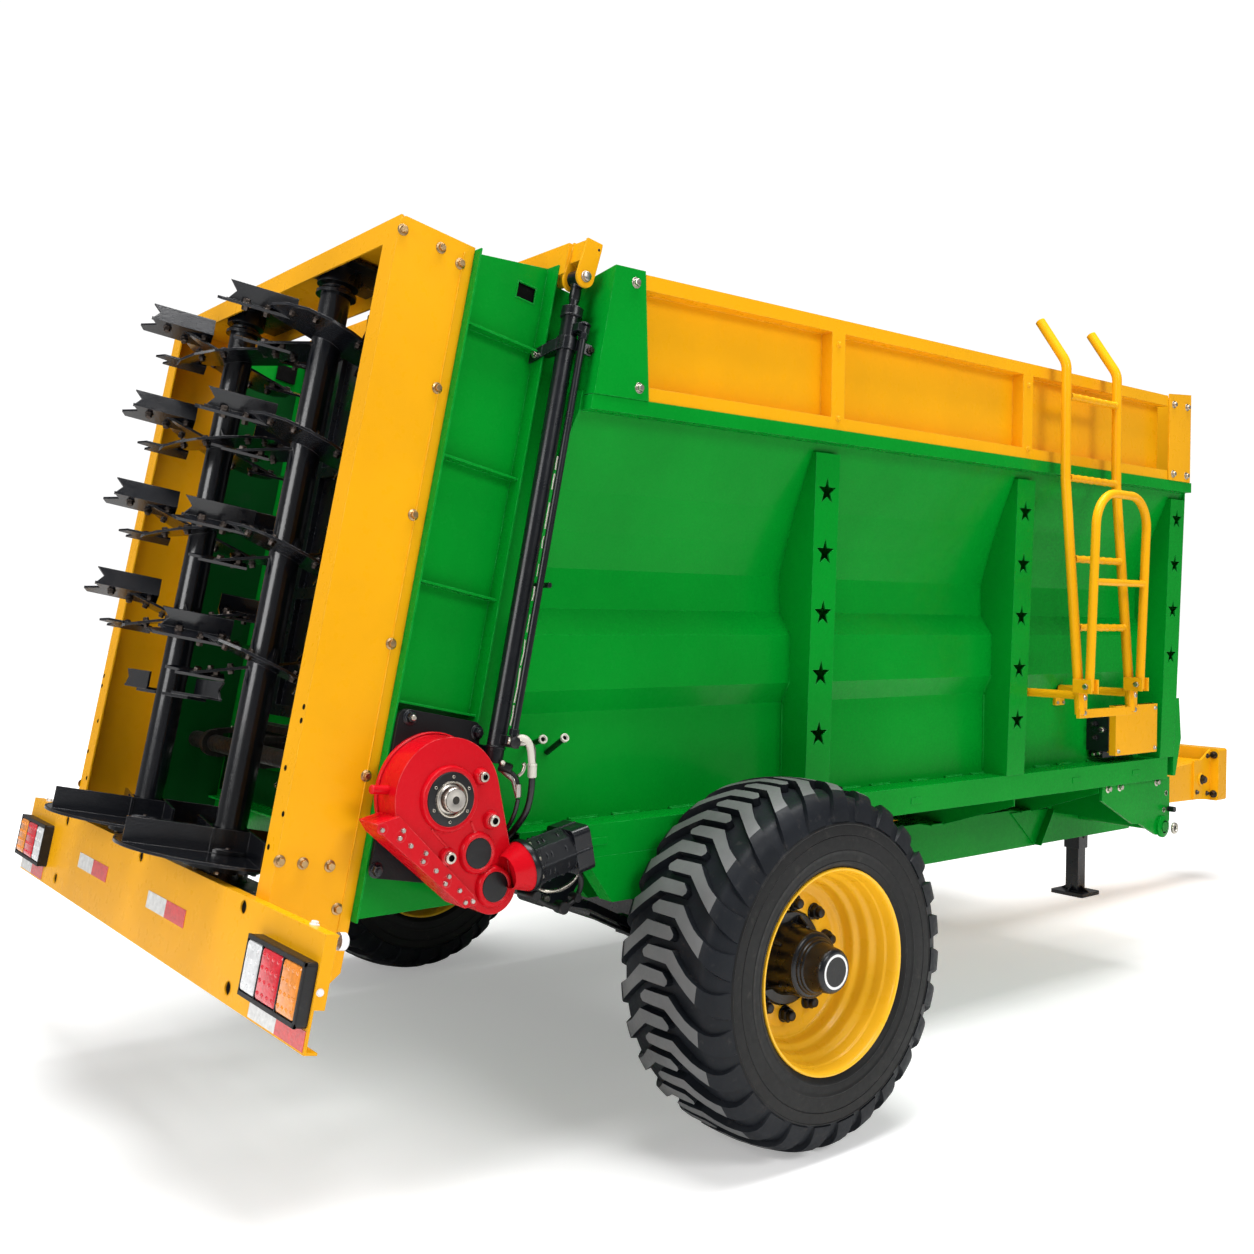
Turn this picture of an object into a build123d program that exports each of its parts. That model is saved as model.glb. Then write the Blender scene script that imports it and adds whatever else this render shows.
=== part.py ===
from build123d import *
import os
from math import cos, sin, pi, radians, hypot, tan

os.makedirs("parts", exist_ok=True)

# ---------------------------------------------------------------------------
# Manure spreader with two upright beaters.  Millimetres, +X to the drawbar,
# +Y to the left, +Z up, ground at z = 0.  Sketch numbers along X are counted
# from the wheel axle, which lies AXLE_X in front of the origin.
# ---------------------------------------------------------------------------
AXLE_X = -1554.0

# wheels
TYRE_R = 535.0          # 22.5 inch flotation tyre, outer radius
WHEEL_Y = 1112.0        # tyre centre from the middle
RIM_R = 290.0           # bead seat
HUB_BORE = 40.05
SPINDLE_R = 40.0

# tilted rear end: t = forward of the rear flange plane, s = up along it
TILT = radians(11.3)
REAR_X = -1696.0        # rear flange plane at ground level
FRAME_W = 810.0         # half width over the rear frame
FRAME_D = 236.0         # rear frame, depth of the posts
FRAME_TOP = 2644.0      # along s
PANEL_T = 500.0         # front flange of the rear side panels
HOPPER_T = 592.0        # rear end of the hopper

# hopper
WALL = 5.0
FRONT_X = 2735.0
SILL_Z0, SILL_Z1 = 861.0, 955.0
SILL_Y0, SILL_Y1 = 800.0, 903.0
SILL_X0, SILL_X1 = -840.0, 2690.0
RAIL_Z0, RAIL_Z1 = 2120.0, 2162.0
RAIL_Y0, RAIL_Y1 = 925.0, 975.0
EXT_Z = 2522.0          # top of the side extensions
FLOOR_Z = 1110.0
POST_X = [365.0, 1510.0, 2676.0]
POST_W = 117.0

# chassis
CH_Y, CH_W = 450.0, 100.0
CH_Z0, CH_Z1 = 540.0, 711.0
SPRING_Y = 700.0

# beaters
BEATER_T, BEATER_Y = 76.5, 335.0
TUBE_R = 45.0
ROTOR_PIN, ROTOR_SEAT = 30.0, 30.05
TIP_R = 328.0
DISC_R, DISC_S = 305.0, 898.0

# drive shaft under the floor
SHAFT_DZ, PTO_R = 786.0, 32.0

# floor drive
SHAFT_X, SHAFT_Z = -1099.0, 1075.0
SMALL_X, SMALL_Z = -958.0, 833.0
MOTOR_X, MOTOR_Y, MOTOR_Z = -883.0, -975.0, 882.0
PITCH = radians(12)      # the motor points up and forward
FRONT_SHAFT_X = 2600.0

# rear door and its cylinders
DOOR_T0, DOOR_T1 = 538.0, 546.0
CYL_T, CYL_Y = 530.0, 895.0
EYE_S = 2648.0
ROD_R = 12.5
PIPE_T, PIPE_Y = 550.0, 940.0

# ladder
LAD_X0, LAD_X1 = 1606.0, 1973.0
LAD_R = 18.0
HINGE_Y, HINGE_Z = -1146.0, 1307.0
ARM_Z = 1272.0

# drawbar and jack
PIVOT_X, PIVOT_Z = 2690.0, 645.0
BAR_Y = 120.0
JACK_X, JACK_Y = 3860.0, 190.0


def side(y):            # (x, z) sketches, normal to the right (-Y)
    return Plane(origin=(AXLE_X, y, 0), x_dir=(1, 0, 0), z_dir=(0, -1, 0))


def cross(x):           # (y, z) sketches, normal forward
    return Plane(origin=(AXLE_X + x, 0, 0), x_dir=(0, 1, 0), z_dir=(1, 0, 0))


def level(z):           # (x, y) sketches, normal up
    return Plane(origin=(AXLE_X, 0, z), x_dir=(1, 0, 0), z_dir=(0, 0, 1))


def rear_cross(t):      # (y, s) sketches across the tilted rear end
    return Plane(origin=(AXLE_X + REAR_X + t * cos(TILT), 0, -t * sin(TILT)),
                 x_dir=(0, 1, 0), z_dir=(cos(TILT), 0, -sin(TILT)))


def rear_side(y):       # (t, s) sketches, normal to the right
    return Plane(origin=(AXLE_X + REAR_X, y, 0),
                 x_dir=(cos(TILT), 0, -sin(TILT)), z_dir=(0, -1, 0))


def rear_level(s):      # (t, y) sketches square to the tilt
    return Plane(origin=(AXLE_X + REAR_X + s * sin(TILT), 0, s * cos(TILT)),
                 x_dir=(cos(TILT), 0, -sin(TILT)), z_dir=(sin(TILT), 0, cos(TILT)))


def xt(t, z):           # x of the tilted plane t at height z
    return REAR_X + (t + z * sin(TILT)) / cos(TILT)


def sz(t, z):           # s of the point at height z on plane t
    return (z + t * sin(TILT)) / cos(TILT)


def tilted(t, s):       # (x, z) of a point of the tilted rear end
    return (REAR_X + t * cos(TILT) + s * sin(TILT), s * cos(TILT) - t * sin(TILT))


# hopper wall section, right side seen from behind: |y|, z from bottom to top
WALL_OUT = [(800, 955), (800, 1268), (831, 1334), (833, 1493), (783, 1569),
            (781, 1686), (810, 1792), (847, 1907), (930, 2120)]
WALL_LOOP = WALL_OUT + [(y - WALL, z) for y, z in reversed(WALL_OUT)]


def flip(points, sign):
    return [(sign * y, z) for y, z in points]


SIDES = [-1, 1]         # right, left

# ------------------------------------------------------------------ wheels
# sections: offset outward from the wheel centre, radius
TYRE = [(-176, 290), (-180, 300.5), (-190, 303), (-196, 335), (-198, 385), (-196, 435),
        (-186, 480), (-168, 506), (-140, 520), (-80, 531), (0, TYRE_R), (80, 531),
        (140, 520), (168, 506), (186, 480), (196, 435), (198, 385), (196, 335),
        (190, 303), (180, 300.5), (176, 290), (146, 290), (150, 310), (168, 340),
        (172, 385), (168, 425), (155, 462), (132, 488), (80, 502), (0, 506), (-80, 502),
        (-132, 488), (-155, 462), (-168, 425), (-172, 385), (-168, 340), (-150, 310),
        (-146, 290)]
RIM = [(-188, 290), (-188, 299), (-181, 299), (-177, 289.9), (-120, 286), (-95, 262),
       (62, 262), (87, 286), (177, 289.9), (181, 299), (188, 299), (188, 290),
       (180, 282), (90, 278), (66, 254), (0, 254), (0, 141), (-16, 141), (-16, 254),
       (-97, 254), (-122, 278), (-180, 282)]
HUB = [(-102, HUB_BORE), (-102, 75), (-36, 90), (-36, 148), (-180, 148), (-180, 160),
       (-32, 160), (-32, 192), (-16.1, 192), (-16.1, 139), (0, 139), (4, 112), (48, 100),
       (106, 97), (108, 68), (180, 64), (188, 56), (188, 0), (93, 0), (93, HUB_BORE)]

wheel_parts = {}
for sign, word in [(-1, "right"), (1, "left")]:
    for what, section in [("tyre", TYRE), ("rim", RIM), ("hub", HUB)]:
        with BuildPart() as turned:
            with BuildSketch(cross(0)):
                Polygon(*[(sign * (WHEEL_Y + w), TYRE_R + r) for w, r in section],
                        align=None)
            revolve(axis=Axis((AXLE_X, 0, TYRE_R), (0, 1, 0)))
        wheel_parts[what, word] = turned

tyre_right = wheel_parts["tyre", "right"]
tyre_left = wheel_parts["tyre", "left"]
rim_right = wheel_parts["rim", "right"]
rim_left = wheel_parts["rim", "left"]
hub_right = wheel_parts["hub", "right"]
hub_left = wheel_parts["hub", "left"]

# ------------------------------------------------------------------ axle
with BuildPart() as axle_beam:
    with BuildSketch(side(-880)):
        with Locations((0, TYRE_R)):
            Rectangle(110, 110)
    extrude(amount=-1760)
    for sign in SIDES:
        with BuildSketch(side(sign * 880)):
            with Locations((0, TYRE_R)):
                Circle(165)
        extrude(amount=-sign * 10)
        with BuildSketch(side(sign * 890)):
            with Locations((0, TYRE_R)):
                Circle(52)
        extrude(amount=-sign * 110)
        with BuildSketch(side(sign * 1000)):
            with Locations((0, TYRE_R)):
                Circle(SPINDLE_R)
        extrude(amount=-sign * 190)

# leaf springs under the axle: x, z of the top leaf
LEAF = [(-640, 735), (-560, 712), (-455, 688), (-273, 600), (-150, 522), (-70, 478),
        (70, 478), (150, 522), (273, 600), (455, 688), (560, 712), (640, 735)]
with BuildPart() as leaf_springs:
    for sign in SIDES:
        with BuildSketch(side(sign * SPRING_Y + 35)):
            Polygon(*LEAF, *[(x, z - 34 + abs(x) * 0.02) for x, z in reversed(LEAF)],
                    align=None)
        extrude(amount=70)
        # plate and bolts that clamp the pack to the axle
        with BuildSketch(side(sign * SPRING_Y + 55)):
            with Locations((0, 437)):
                Rectangle(170, 14)
        extrude(amount=110)

# ------------------------------------------------------------------ chassis
with BuildPart() as chassis_rails:
    for sign in SIDES:
        with BuildSketch(side(sign * CH_Y + CH_W / 2)):
            Polygon((-1240, 690), (-330, 690), (-270, 628),
                    (150, 628), (200, CH_Z0), (3130, CH_Z0), (3180, 600), (3180, CH_Z1),
                    (-1240, CH_Z1), align=None)
            with Locations((PIVOT_X, PIVOT_Z)):
                Circle(22.1, mode=Mode.SUBTRACT)
        extrude(amount=CH_W)
        # channel open to the middle
        with BuildSketch(side(sign * (CH_Y - CH_W / 2))):
            Polygon((-262, 638), (156, 638), (206, CH_Z0 + 10), (2640, CH_Z0 + 10),
                    (2640, CH_Z1 - 10), (-262, CH_Z1 - 10), align=None)
        extrude(amount=sign * -(CH_W - 10), mode=Mode.SUBTRACT)

# crossmembers, channels with the web in front: x, half length
CROSS = [(-1010.0, 784.5), (-700.0, 880.0), (700.0, 880.0), (POST_X[1], 880.0),
         (2150.0, 866.0), (2640.0, 866.0)]
with BuildPart() as cross_members:
    for x, half in CROSS:
        with BuildSketch(cross(x + 34)):
            Polygon((-half, SILL_Z0), (-half, 828), (-560, CH_Z1), (560, CH_Z1), (half, 828),
                    (half, SILL_Z0), align=None)
            with Locations((0, SHAFT_DZ)):
                Circle(48, mode=Mode.SUBTRACT)
        extrude(amount=6)
        with BuildSketch(cross(x - 40)):
            with Locations((0, SILL_Z0 - 3)):
                Rectangle(2 * half, 6)
            with Locations((0, CH_Z1 + 3)):
                Rectangle(1120, 6)
        extrude(amount=80)

# beams that carry the springs, with a pair of hanger plates at each end
with BuildPart() as spring_carriers:
    for sign in SIDES:
        with BuildSketch(side(sign * SPRING_Y + 45)):
            with Locations((0, 831)):
                Rectangle(1316, 59)
        extrude(amount=90)
        for end in (-1, 1):
            with BuildSketch(side(sign * SPRING_Y + 50), side(sign * SPRING_Y - 42)):
                Polygon((end * 470, 802), (end * 656, 802), (end * 654, 716),
                        (end * 560, 690), align=None)
            extrude(amount=8)
            with BuildSketch(side(sign * SPRING_Y + 42)):
                with Locations((end * 600, 764)):
                    Circle(16)
            extrude(amount=84)

# sheet boxes under the sills, struts on the rails, plates to the front brackets
with BuildPart() as side_brackets:
    for sign in SIDES:
        with BuildSketch(side(sign * 873 + 30)):
            Polygon((-611, SILL_Z0), (-507, 724), (-260, 724), (-156, SILL_Z0), align=None)
        extrude(amount=60)
        with BuildSketch(side(sign * 873 + 24)):
            Polygon((-602, SILL_Z0 + 1), (-502, 730), (-265, 730), (-165, SILL_Z0 + 1),
                    align=None)
        extrude(amount=48, mode=Mode.SUBTRACT)
        with BuildSketch(side(sign * 503 + 3)):
            Polygon((2117, 700), (2405, 697), (2301, 544), align=None)
        extrude(amount=6)
        with BuildSketch(side(sign * 519 + 19)):
            Polygon((2405, 697), (2412, 697), (2308, 544), (2301, 544), align=None)
        extrude(amount=38)
        with BuildSketch(cross(2447)):
            Polygon(*flip([(501, 712), (501, 677), (867.5, 677), (867.5, 860), (560, 860)],
                          sign), align=None)
        extrude(amount=6)

# ------------------------------------------------------------------ hopper
with BuildPart() as sills:
    for sign in SIDES:
        with BuildSketch(cross(SILL_X0)):
            with Locations((sign * (SILL_Y0 + SILL_Y1) / 2, (SILL_Z0 + SILL_Z1) / 2)):
                Rectangle(SILL_Y1 - SILL_Y0, SILL_Z1 - SILL_Z0)
                Rectangle(SILL_Y1 - SILL_Y0 - 10, SILL_Z1 - SILL_Z0 - 10,
                          mode=Mode.SUBTRACT)
        extrude(amount=SILL_X1 - SILL_X0)

with BuildPart() as hopper_sides:
    for sign in SIDES:
        with BuildSketch(cross(-1000)):
            Polygon(*flip(WALL_LOOP, sign), align=None)
        extrude(amount=1000 + FRONT_X)
    split(bisect_by=rear_cross(HOPPER_T), keep=Keep.TOP)

STAR_Z = [(1167, 1366, 1566, 1766, 1966)] * 2 + [(1407, 1606, 1805, 2003)]
POST_OUT = [(900, 955), (906, 955), (936, 2090), (930, 2090)]
POST_GUSSET = WALL_OUT[:-1] + [(918.4, 2090), (930, 2090), (900, 955)]
with BuildPart() as side_posts:
    for sign in SIDES:
        for x in POST_X:
            with BuildSketch(cross(x - POST_W / 2)):
                Polygon(*flip(POST_OUT, sign), align=None)
            extrude(amount=POST_W)
            with BuildSketch(cross(x - POST_W / 2), cross(x + POST_W / 2 - 6)):
                Polygon(*flip(POST_GUSSET, sign), align=None)
            extrude(amount=6)
    # five-pointed stars cut through the outer face
    star = []
    for k in range(10):
        r = 45.0 if k % 2 == 0 else 18.0
        star.append((r * sin(k * pi / 5), r * cos(k * pi / 5)))
    for y in (-890, 960):
        for x, heights in zip(POST_X, STAR_Z):
            with BuildSketch(side(y)):
                with Locations(*[(x, z) for z in heights]):
                    Polygon(*star, align=None)
            extrude(amount=70, mode=Mode.SUBTRACT)

with BuildPart() as top_rails:
    for sign in SIDES:
        with BuildSketch(cross(-720)):
            with Locations((sign * (RAIL_Y0 + RAIL_Y1) / 2, (RAIL_Z0 + RAIL_Z1) / 2)):
                Rectangle(RAIL_Y1 - RAIL_Y0, RAIL_Z1 - RAIL_Z0)
        extrude(amount=720 + FRONT_X - 20)
    split(bisect_by=rear_cross(HOPPER_T), keep=Keep.TOP)

# side extensions: sheet, top tube, foot strip and posts
EXT_X0, EXT_X1 = -470.0, 2508.0
with BuildPart() as side_extensions:
    for sign in SIDES:
        with BuildSketch(side(sign * 924 + 2)):
            with Locations(((EXT_X0 + EXT_X1) / 2, (RAIL_Z1 + EXT_Z) / 2)):
                Rectangle(EXT_X1 - EXT_X0, EXT_Z - RAIL_Z1)
        extrude(amount=4)
        with BuildSketch(side(sign * 926)):
            with Locations(((EXT_X0 + EXT_X1) / 2, EXT_Z - 22)):
                Rectangle(EXT_X1 - EXT_X0, 44)
            with Locations(((EXT_X0 + EXT_X1) / 2, RAIL_Z1 + 20)):
                Rectangle(EXT_X1 - EXT_X0, 40)
            for x in (365, 1452):
                with Locations((x, (RAIL_Z1 + EXT_Z) / 2)):
                    Rectangle(64, EXT_Z - RAIL_Z1)
        extrude(amount=-sign * 46)

# corner covers at the rear, with their rear faces on the tilted plane
with BuildPart() as corner_covers:
    for sign in SIDES:
        with BuildSketch(side(sign * 976 + 3)):
            Polygon((xt(HOPPER_T, RAIL_Z1), RAIL_Z1), (-460, RAIL_Z1), (-478, 2529),
                    (xt(HOPPER_T, 2529), 2529), align=None)
        extrude(amount=6)
        with BuildSketch(rear_cross(HOPPER_T)):
            Polygon(*flip([(973, sz(HOPPER_T, RAIL_Z1 + 2)), (973, sz(HOPPER_T, 2529)),
                           (800, sz(HOPPER_T, 2500)), (800, sz(HOPPER_T, RAIL_Z1 + 2))],
                          sign), align=None)
        extrude(amount=6)

with BuildPart() as front_panel:
    with BuildSketch(cross(FRONT_X)):
        Polygon((-906, 870), (-906, 955), (-936, 2120), (-960, 2162), (960, 2162),
                (936, 2120), (906, 955), (906, 870), align=None)
    extrude(amount=6)
    # flanges folded forward at the lower corners
    for sign in SIDES:
        with BuildSketch(side(sign * 903 + 3)):
            Polygon((FRONT_X + 6, 870), (FRONT_X + 6, 1210), (2778, 1214), (2802, 1034),
                    (2755, 870), align=None)
        extrude(amount=6)

with BuildPart() as front_extension:
    with BuildSketch(cross(2690)):
        with Locations((0, (RAIL_Z1 + 2545) / 2)):
            Rectangle(2 * 972, 2545 - RAIL_Z1)
            Rectangle(2 * 760, 230, mode=Mode.SUBTRACT)
    extrude(amount=6)
    for k in range(7):
        with BuildSketch(cross(2690)):
            with Locations((-600 + 200 * k, (RAIL_Z1 + 2545) / 2)):
                Rectangle(12, 232)
        extrude(amount=6)
    for sign in SIDES:
        with BuildSketch(side(sign * 975 + 3)):
            Polygon((2510, RAIL_Z1), (2510, 2530), (2696, 2545), (2696, RAIL_Z1),
                    align=None)
        extrude(amount=6)

with BuildPart() as hopper_floor:
    # plate between the chain runs: x from, x to, half width
    for x0, x1, half in [(-1025, -950, 784), (-950, 2535, 794.5)]:
        with BuildSketch(level(FLOOR_Z - 5)):
            with Locations(((x0 + x1) / 2, 0)):
                Rectangle(x1 - x0, 2 * half)
        extrude(amount=5)
    for x in (-900, 150, 1000, 1900, 2450):
        with BuildSketch(cross(x)):
            with Locations((0, FLOOR_Z - 5 - 25)):
                Rectangle(2 * 794.5, 50)
        extrude(amount=60)
    # sloping plate over the front sprockets
    with BuildSketch(side(794.5)):
        Polygon((2555, 1164), (2734, 1300), (2734, 1307), (2552, 1169), align=None)
    extrude(amount=2 * 794.5)

# ------------------------------------------------------------------ conveyor
CHAIN_R, CHAIN_T = 48.0, 12.0
CHAIN_Y = (-620, -230, 230, 620)
SLATS_X = [-960 + 320 * k for k in range(11)]
with BuildPart() as floor_conveyor:
    for y in CHAIN_Y:
        with BuildSketch(side(y + 14)):
            with Locations((SHAFT_X, SHAFT_Z), (FRONT_SHAFT_X, SHAFT_Z)):
                Circle(CHAIN_R)
            with Locations(((SHAFT_X + FRONT_SHAFT_X) / 2, SHAFT_Z)):
                Rectangle(FRONT_SHAFT_X - SHAFT_X, 2 * CHAIN_R)
                Rectangle(FRONT_SHAFT_X - SHAFT_X - 60, 2 * (CHAIN_R - CHAIN_T),
                          mode=Mode.SUBTRACT)
        extrude(amount=28)
    for x in SLATS_X:
        for up in (-1, 1):
            with BuildSketch(cross(x)):
                with Locations((0, SHAFT_Z + up * (CHAIN_R + 10))):
                    Rectangle(1500, 24)
            extrude(amount=55)
    with BuildSketch(side(794)):
        with Locations((FRONT_SHAFT_X, SHAFT_Z)):
            Circle(27)
    extrude(amount=2 * 794)
    with BuildSketch(side(784)):
        with Locations((SHAFT_X, SHAFT_Z)):
            Circle(30)
    extrude(amount=784 + 985)

# ------------------------------------------------------------------ rear end
with BuildPart() as rear_side_panels:
    for sign in SIDES:
        z0, z1 = 756.0, 2540.0
        with BuildSketch(side(sign * 787.5 + 2.5)):
            Polygon((xt(FRAME_D, z0), z0), (-905, z0), (-905, SILL_Z0 + 20),
                    (xt(PANEL_T, SILL_Z0 + 20), SILL_Z0 + 20), (xt(PANEL_T, 1116), 1116),
                    (xt(591.5, 1116), 1116), tilted(591.5, 2650), tilted(PANEL_T, 2650),
                    (xt(PANEL_T, z1), z1), (xt(FRAME_D, z1), z1), align=None)
            with Locations((SHAFT_X, SHAFT_Z)):
                Circle(34, mode=Mode.SUBTRACT)
            with Locations((-760, 2460)):
                Rectangle(62, 44, rotation=-11.3, mode=Mode.SUBTRACT)
        extrude(amount=5)
        # folded edges and four ribs, across t: t, lowest s, highest s
        for t, s0, s1 in [(FRAME_D + 0.5, sz(FRAME_D, z0 + 4), sz(FRAME_D, z1)),
                          (PANEL_T - 5, sz(PANEL_T, 1010), sz(PANEL_T, z1))]:
            with BuildSketch(rear_cross(t)):
                with Locations((sign * 815, (s0 + s1) / 2)):
                    Rectangle(50, s1 - s0)
            extrude(amount=5)
        for s in (2430, 2060, 1716, 1393):
            with BuildSketch(rear_level(s)):
                with Locations(((FRAME_D + 5 + PANEL_T - 5) / 2, sign * 808)):
                    Rectangle(PANEL_T - 10 - FRAME_D, 36)
            extrude(amount=6)
        # closing plates between the side sheet and the hopper wall
        with BuildSketch(rear_cross(586)):
            Polygon(*flip([(y, sz(586, z)) for y, z in [
                (787, 1705), (810, 1792), (847, 1907), (930, 2120), (930, 2178),
                (787, 2178)]], sign), align=None)
            Polygon(*flip([(y, sz(586, z)) for y, z in [
                (787, 1240), (800, 1268), (831, 1334), (833, 1493), (787, 1563)]],
                sign), align=None)
        extrude(amount=5.5)

with BuildPart() as rear_frame:
    for sign in SIDES:
        # post as a channel: side sheet, rear flange, front lip
        with BuildSketch(rear_side(sign * 807 + 3)):
            Polygon((0, 620), (0, 2630), (14, FRAME_TOP), (FRAME_D, FRAME_TOP),
                    (FRAME_D, 690), (170, 620), align=None)
        extrude(amount=6)
        with BuildSketch(rear_cross(0)):
            with Locations((sign * 772, (620 + FRAME_TOP) / 2)):
                Rectangle(75, FRAME_TOP - 620)
        extrude(amount=6)
        with BuildSketch(rear_cross(FRAME_D - 6)):
            with Locations((sign * 792, (700 + FRAME_TOP) / 2)):
                Rectangle(34, FRAME_TOP - 700)
        extrude(amount=6)
    # top beam
    with BuildSketch(rear_cross(0), rear_cross(FRAME_D - 6)):
        with Locations((0, FRAME_TOP - 33)):
            Rectangle(2 * 806, 66)
    extrude(amount=6)
    with BuildSketch(rear_level(FRAME_TOP - 6)):
        with Locations((FRAME_D / 2, 0)):
            Rectangle(FRAME_D, 2 * 806)
    extrude(amount=6)
    # lifting lugs on the top beam
    for y in (-392, 392):
        with BuildSketch(rear_side(y + 6)):
            with Locations((118, FRAME_TOP)):
                Circle(38)
            with Locations((118, FRAME_TOP + 16)):
                Circle(13, mode=Mode.SUBTRACT)
            with Locations((118, FRAME_TOP - 40)):
                Rectangle(100, 80, mode=Mode.SUBTRACT)
        extrude(amount=12)

with BuildPart() as bumper:
    with BuildSketch(rear_cross(-34)):
        with Locations((0, 723)):
            Rectangle(2 * 1184, 262)
        with Locations((-750, 828), (750, 828), (-750, 630), (750, 630), (0, 830)):
            Circle(17, mode=Mode.SUBTRACT)
    extrude(amount=6)
    # flanges: s, depth
    for s, depth in [(848, 34), (592, 34)]:
        with BuildSketch(rear_level(s)):
            with Locations((-34 + depth / 2, 0)):
                Rectangle(depth, 2 * 1184)
        extrude(amount=6)
    for sign in SIDES:
        with BuildSketch(rear_side(sign * 1181 + 3)):
            with Locations((-18, 770)):
                Rectangle(32, 162)
        extrude(amount=6)

with BuildPart() as tail_lights:
    for sign in SIDES:
        with BuildSketch(rear_cross(-34)):
            with Locations((sign * 1026.5, 718)):
                RectangleRounded(303, 144, 10)
        extrude(amount=-29)

# crosswise carrier with the two beater gearboxes under the discs
with BuildPart() as beater_drive:
    with BuildSketch(rear_cross(60)):
        with Locations((0, 790)):
            Rectangle(2 * 804, 90)
    extrude(amount=120)
    for y in (-BEATER_Y, BEATER_Y):
        with BuildSketch(rear_level(700)):
            with Locations((BEATER_T, y)):
                Circle(70)
        extrude(amount=162)
        with BuildSketch(rear_level(862)):
            with Locations((BEATER_T, y)):
                Circle(105)
        extrude(amount=16)
    with BuildSketch(rear_cross(180)):
        with Locations((0, 812)):
            Rectangle(190, 156)
    extrude(amount=90)
    # top bearings hang from plates under the top beam
    for y in (-BEATER_Y, BEATER_Y):
        with BuildSketch(rear_level(2616)):
            with Locations((FRAME_D / 2, y)):
                Rectangle(FRAME_D - 14, 240)
        extrude(amount=12)
        with BuildSketch(rear_level(2572)):
            with Locations((BEATER_T, y)):
                Circle(62)
        extrude(amount=44)
    # seats for the rotor shafts and the drive shaft
    for y in (-BEATER_Y, BEATER_Y):
        for s0, deep in [(2572, 34), (840, 38)]:
            with BuildSketch(rear_level(s0)):
                with Locations((BEATER_T, y)):
                    Circle(ROTOR_SEAT)
            extrude(amount=deep, mode=Mode.SUBTRACT)
    with BuildSketch(cross(-1290)):
        with Locations((0, SHAFT_DZ)):
            Circle(PTO_R + 0.05)
    extrude(amount=200, mode=Mode.SUBTRACT)

# ------------------------------------------------------------------ beaters
# Each level has two half-turn flights, made flat and tilted across the tube.  The
# upper end of a flight carries a notched angle paddle, the lower end a short knife.
# level s of the paddle, heading in degrees from forward (counted to the left)
LEVELS = {"right": [(2440, 165), (2120, 165), (1800, 165), (1480, 165)],
          "left": [(2490, 165), (2195, 165), (1900, 165), (1605, 165)]}
FLIGHT_TILT, PADDLE_TILT = radians(16), radians(20)
FLIGHT = [(-20, -200), (60, -192), (130, -158), (182, -100), (204, -30), (204, 30),
          (182, 100), (130, 158), (60, 192), (-20, 200)]
SOLE = [(100, -44), (300, -44), (280, -14), (328, 12), (316, 34), (100, 40)]
BLADE = [(100, 0), (300, 0), (276, 32), (300, 60), (100, 60)]
KNIFE = [(100, -24), (236, -24), (214, 0), (262, 6), (236, 24), (100, 24)]


def rear_point(t, y, s):
    return Vector(AXLE_X + REAR_X + t * cos(TILT) + s * sin(TILT), y,
                  s * cos(TILT) - t * sin(TILT))


def heading_dir(degrees):
    a = radians(degrees)
    return Vector(cos(a) * cos(TILT), sin(a), -cos(a) * sin(TILT))


UP = Vector(sin(TILT), 0, cos(TILT))

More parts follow.
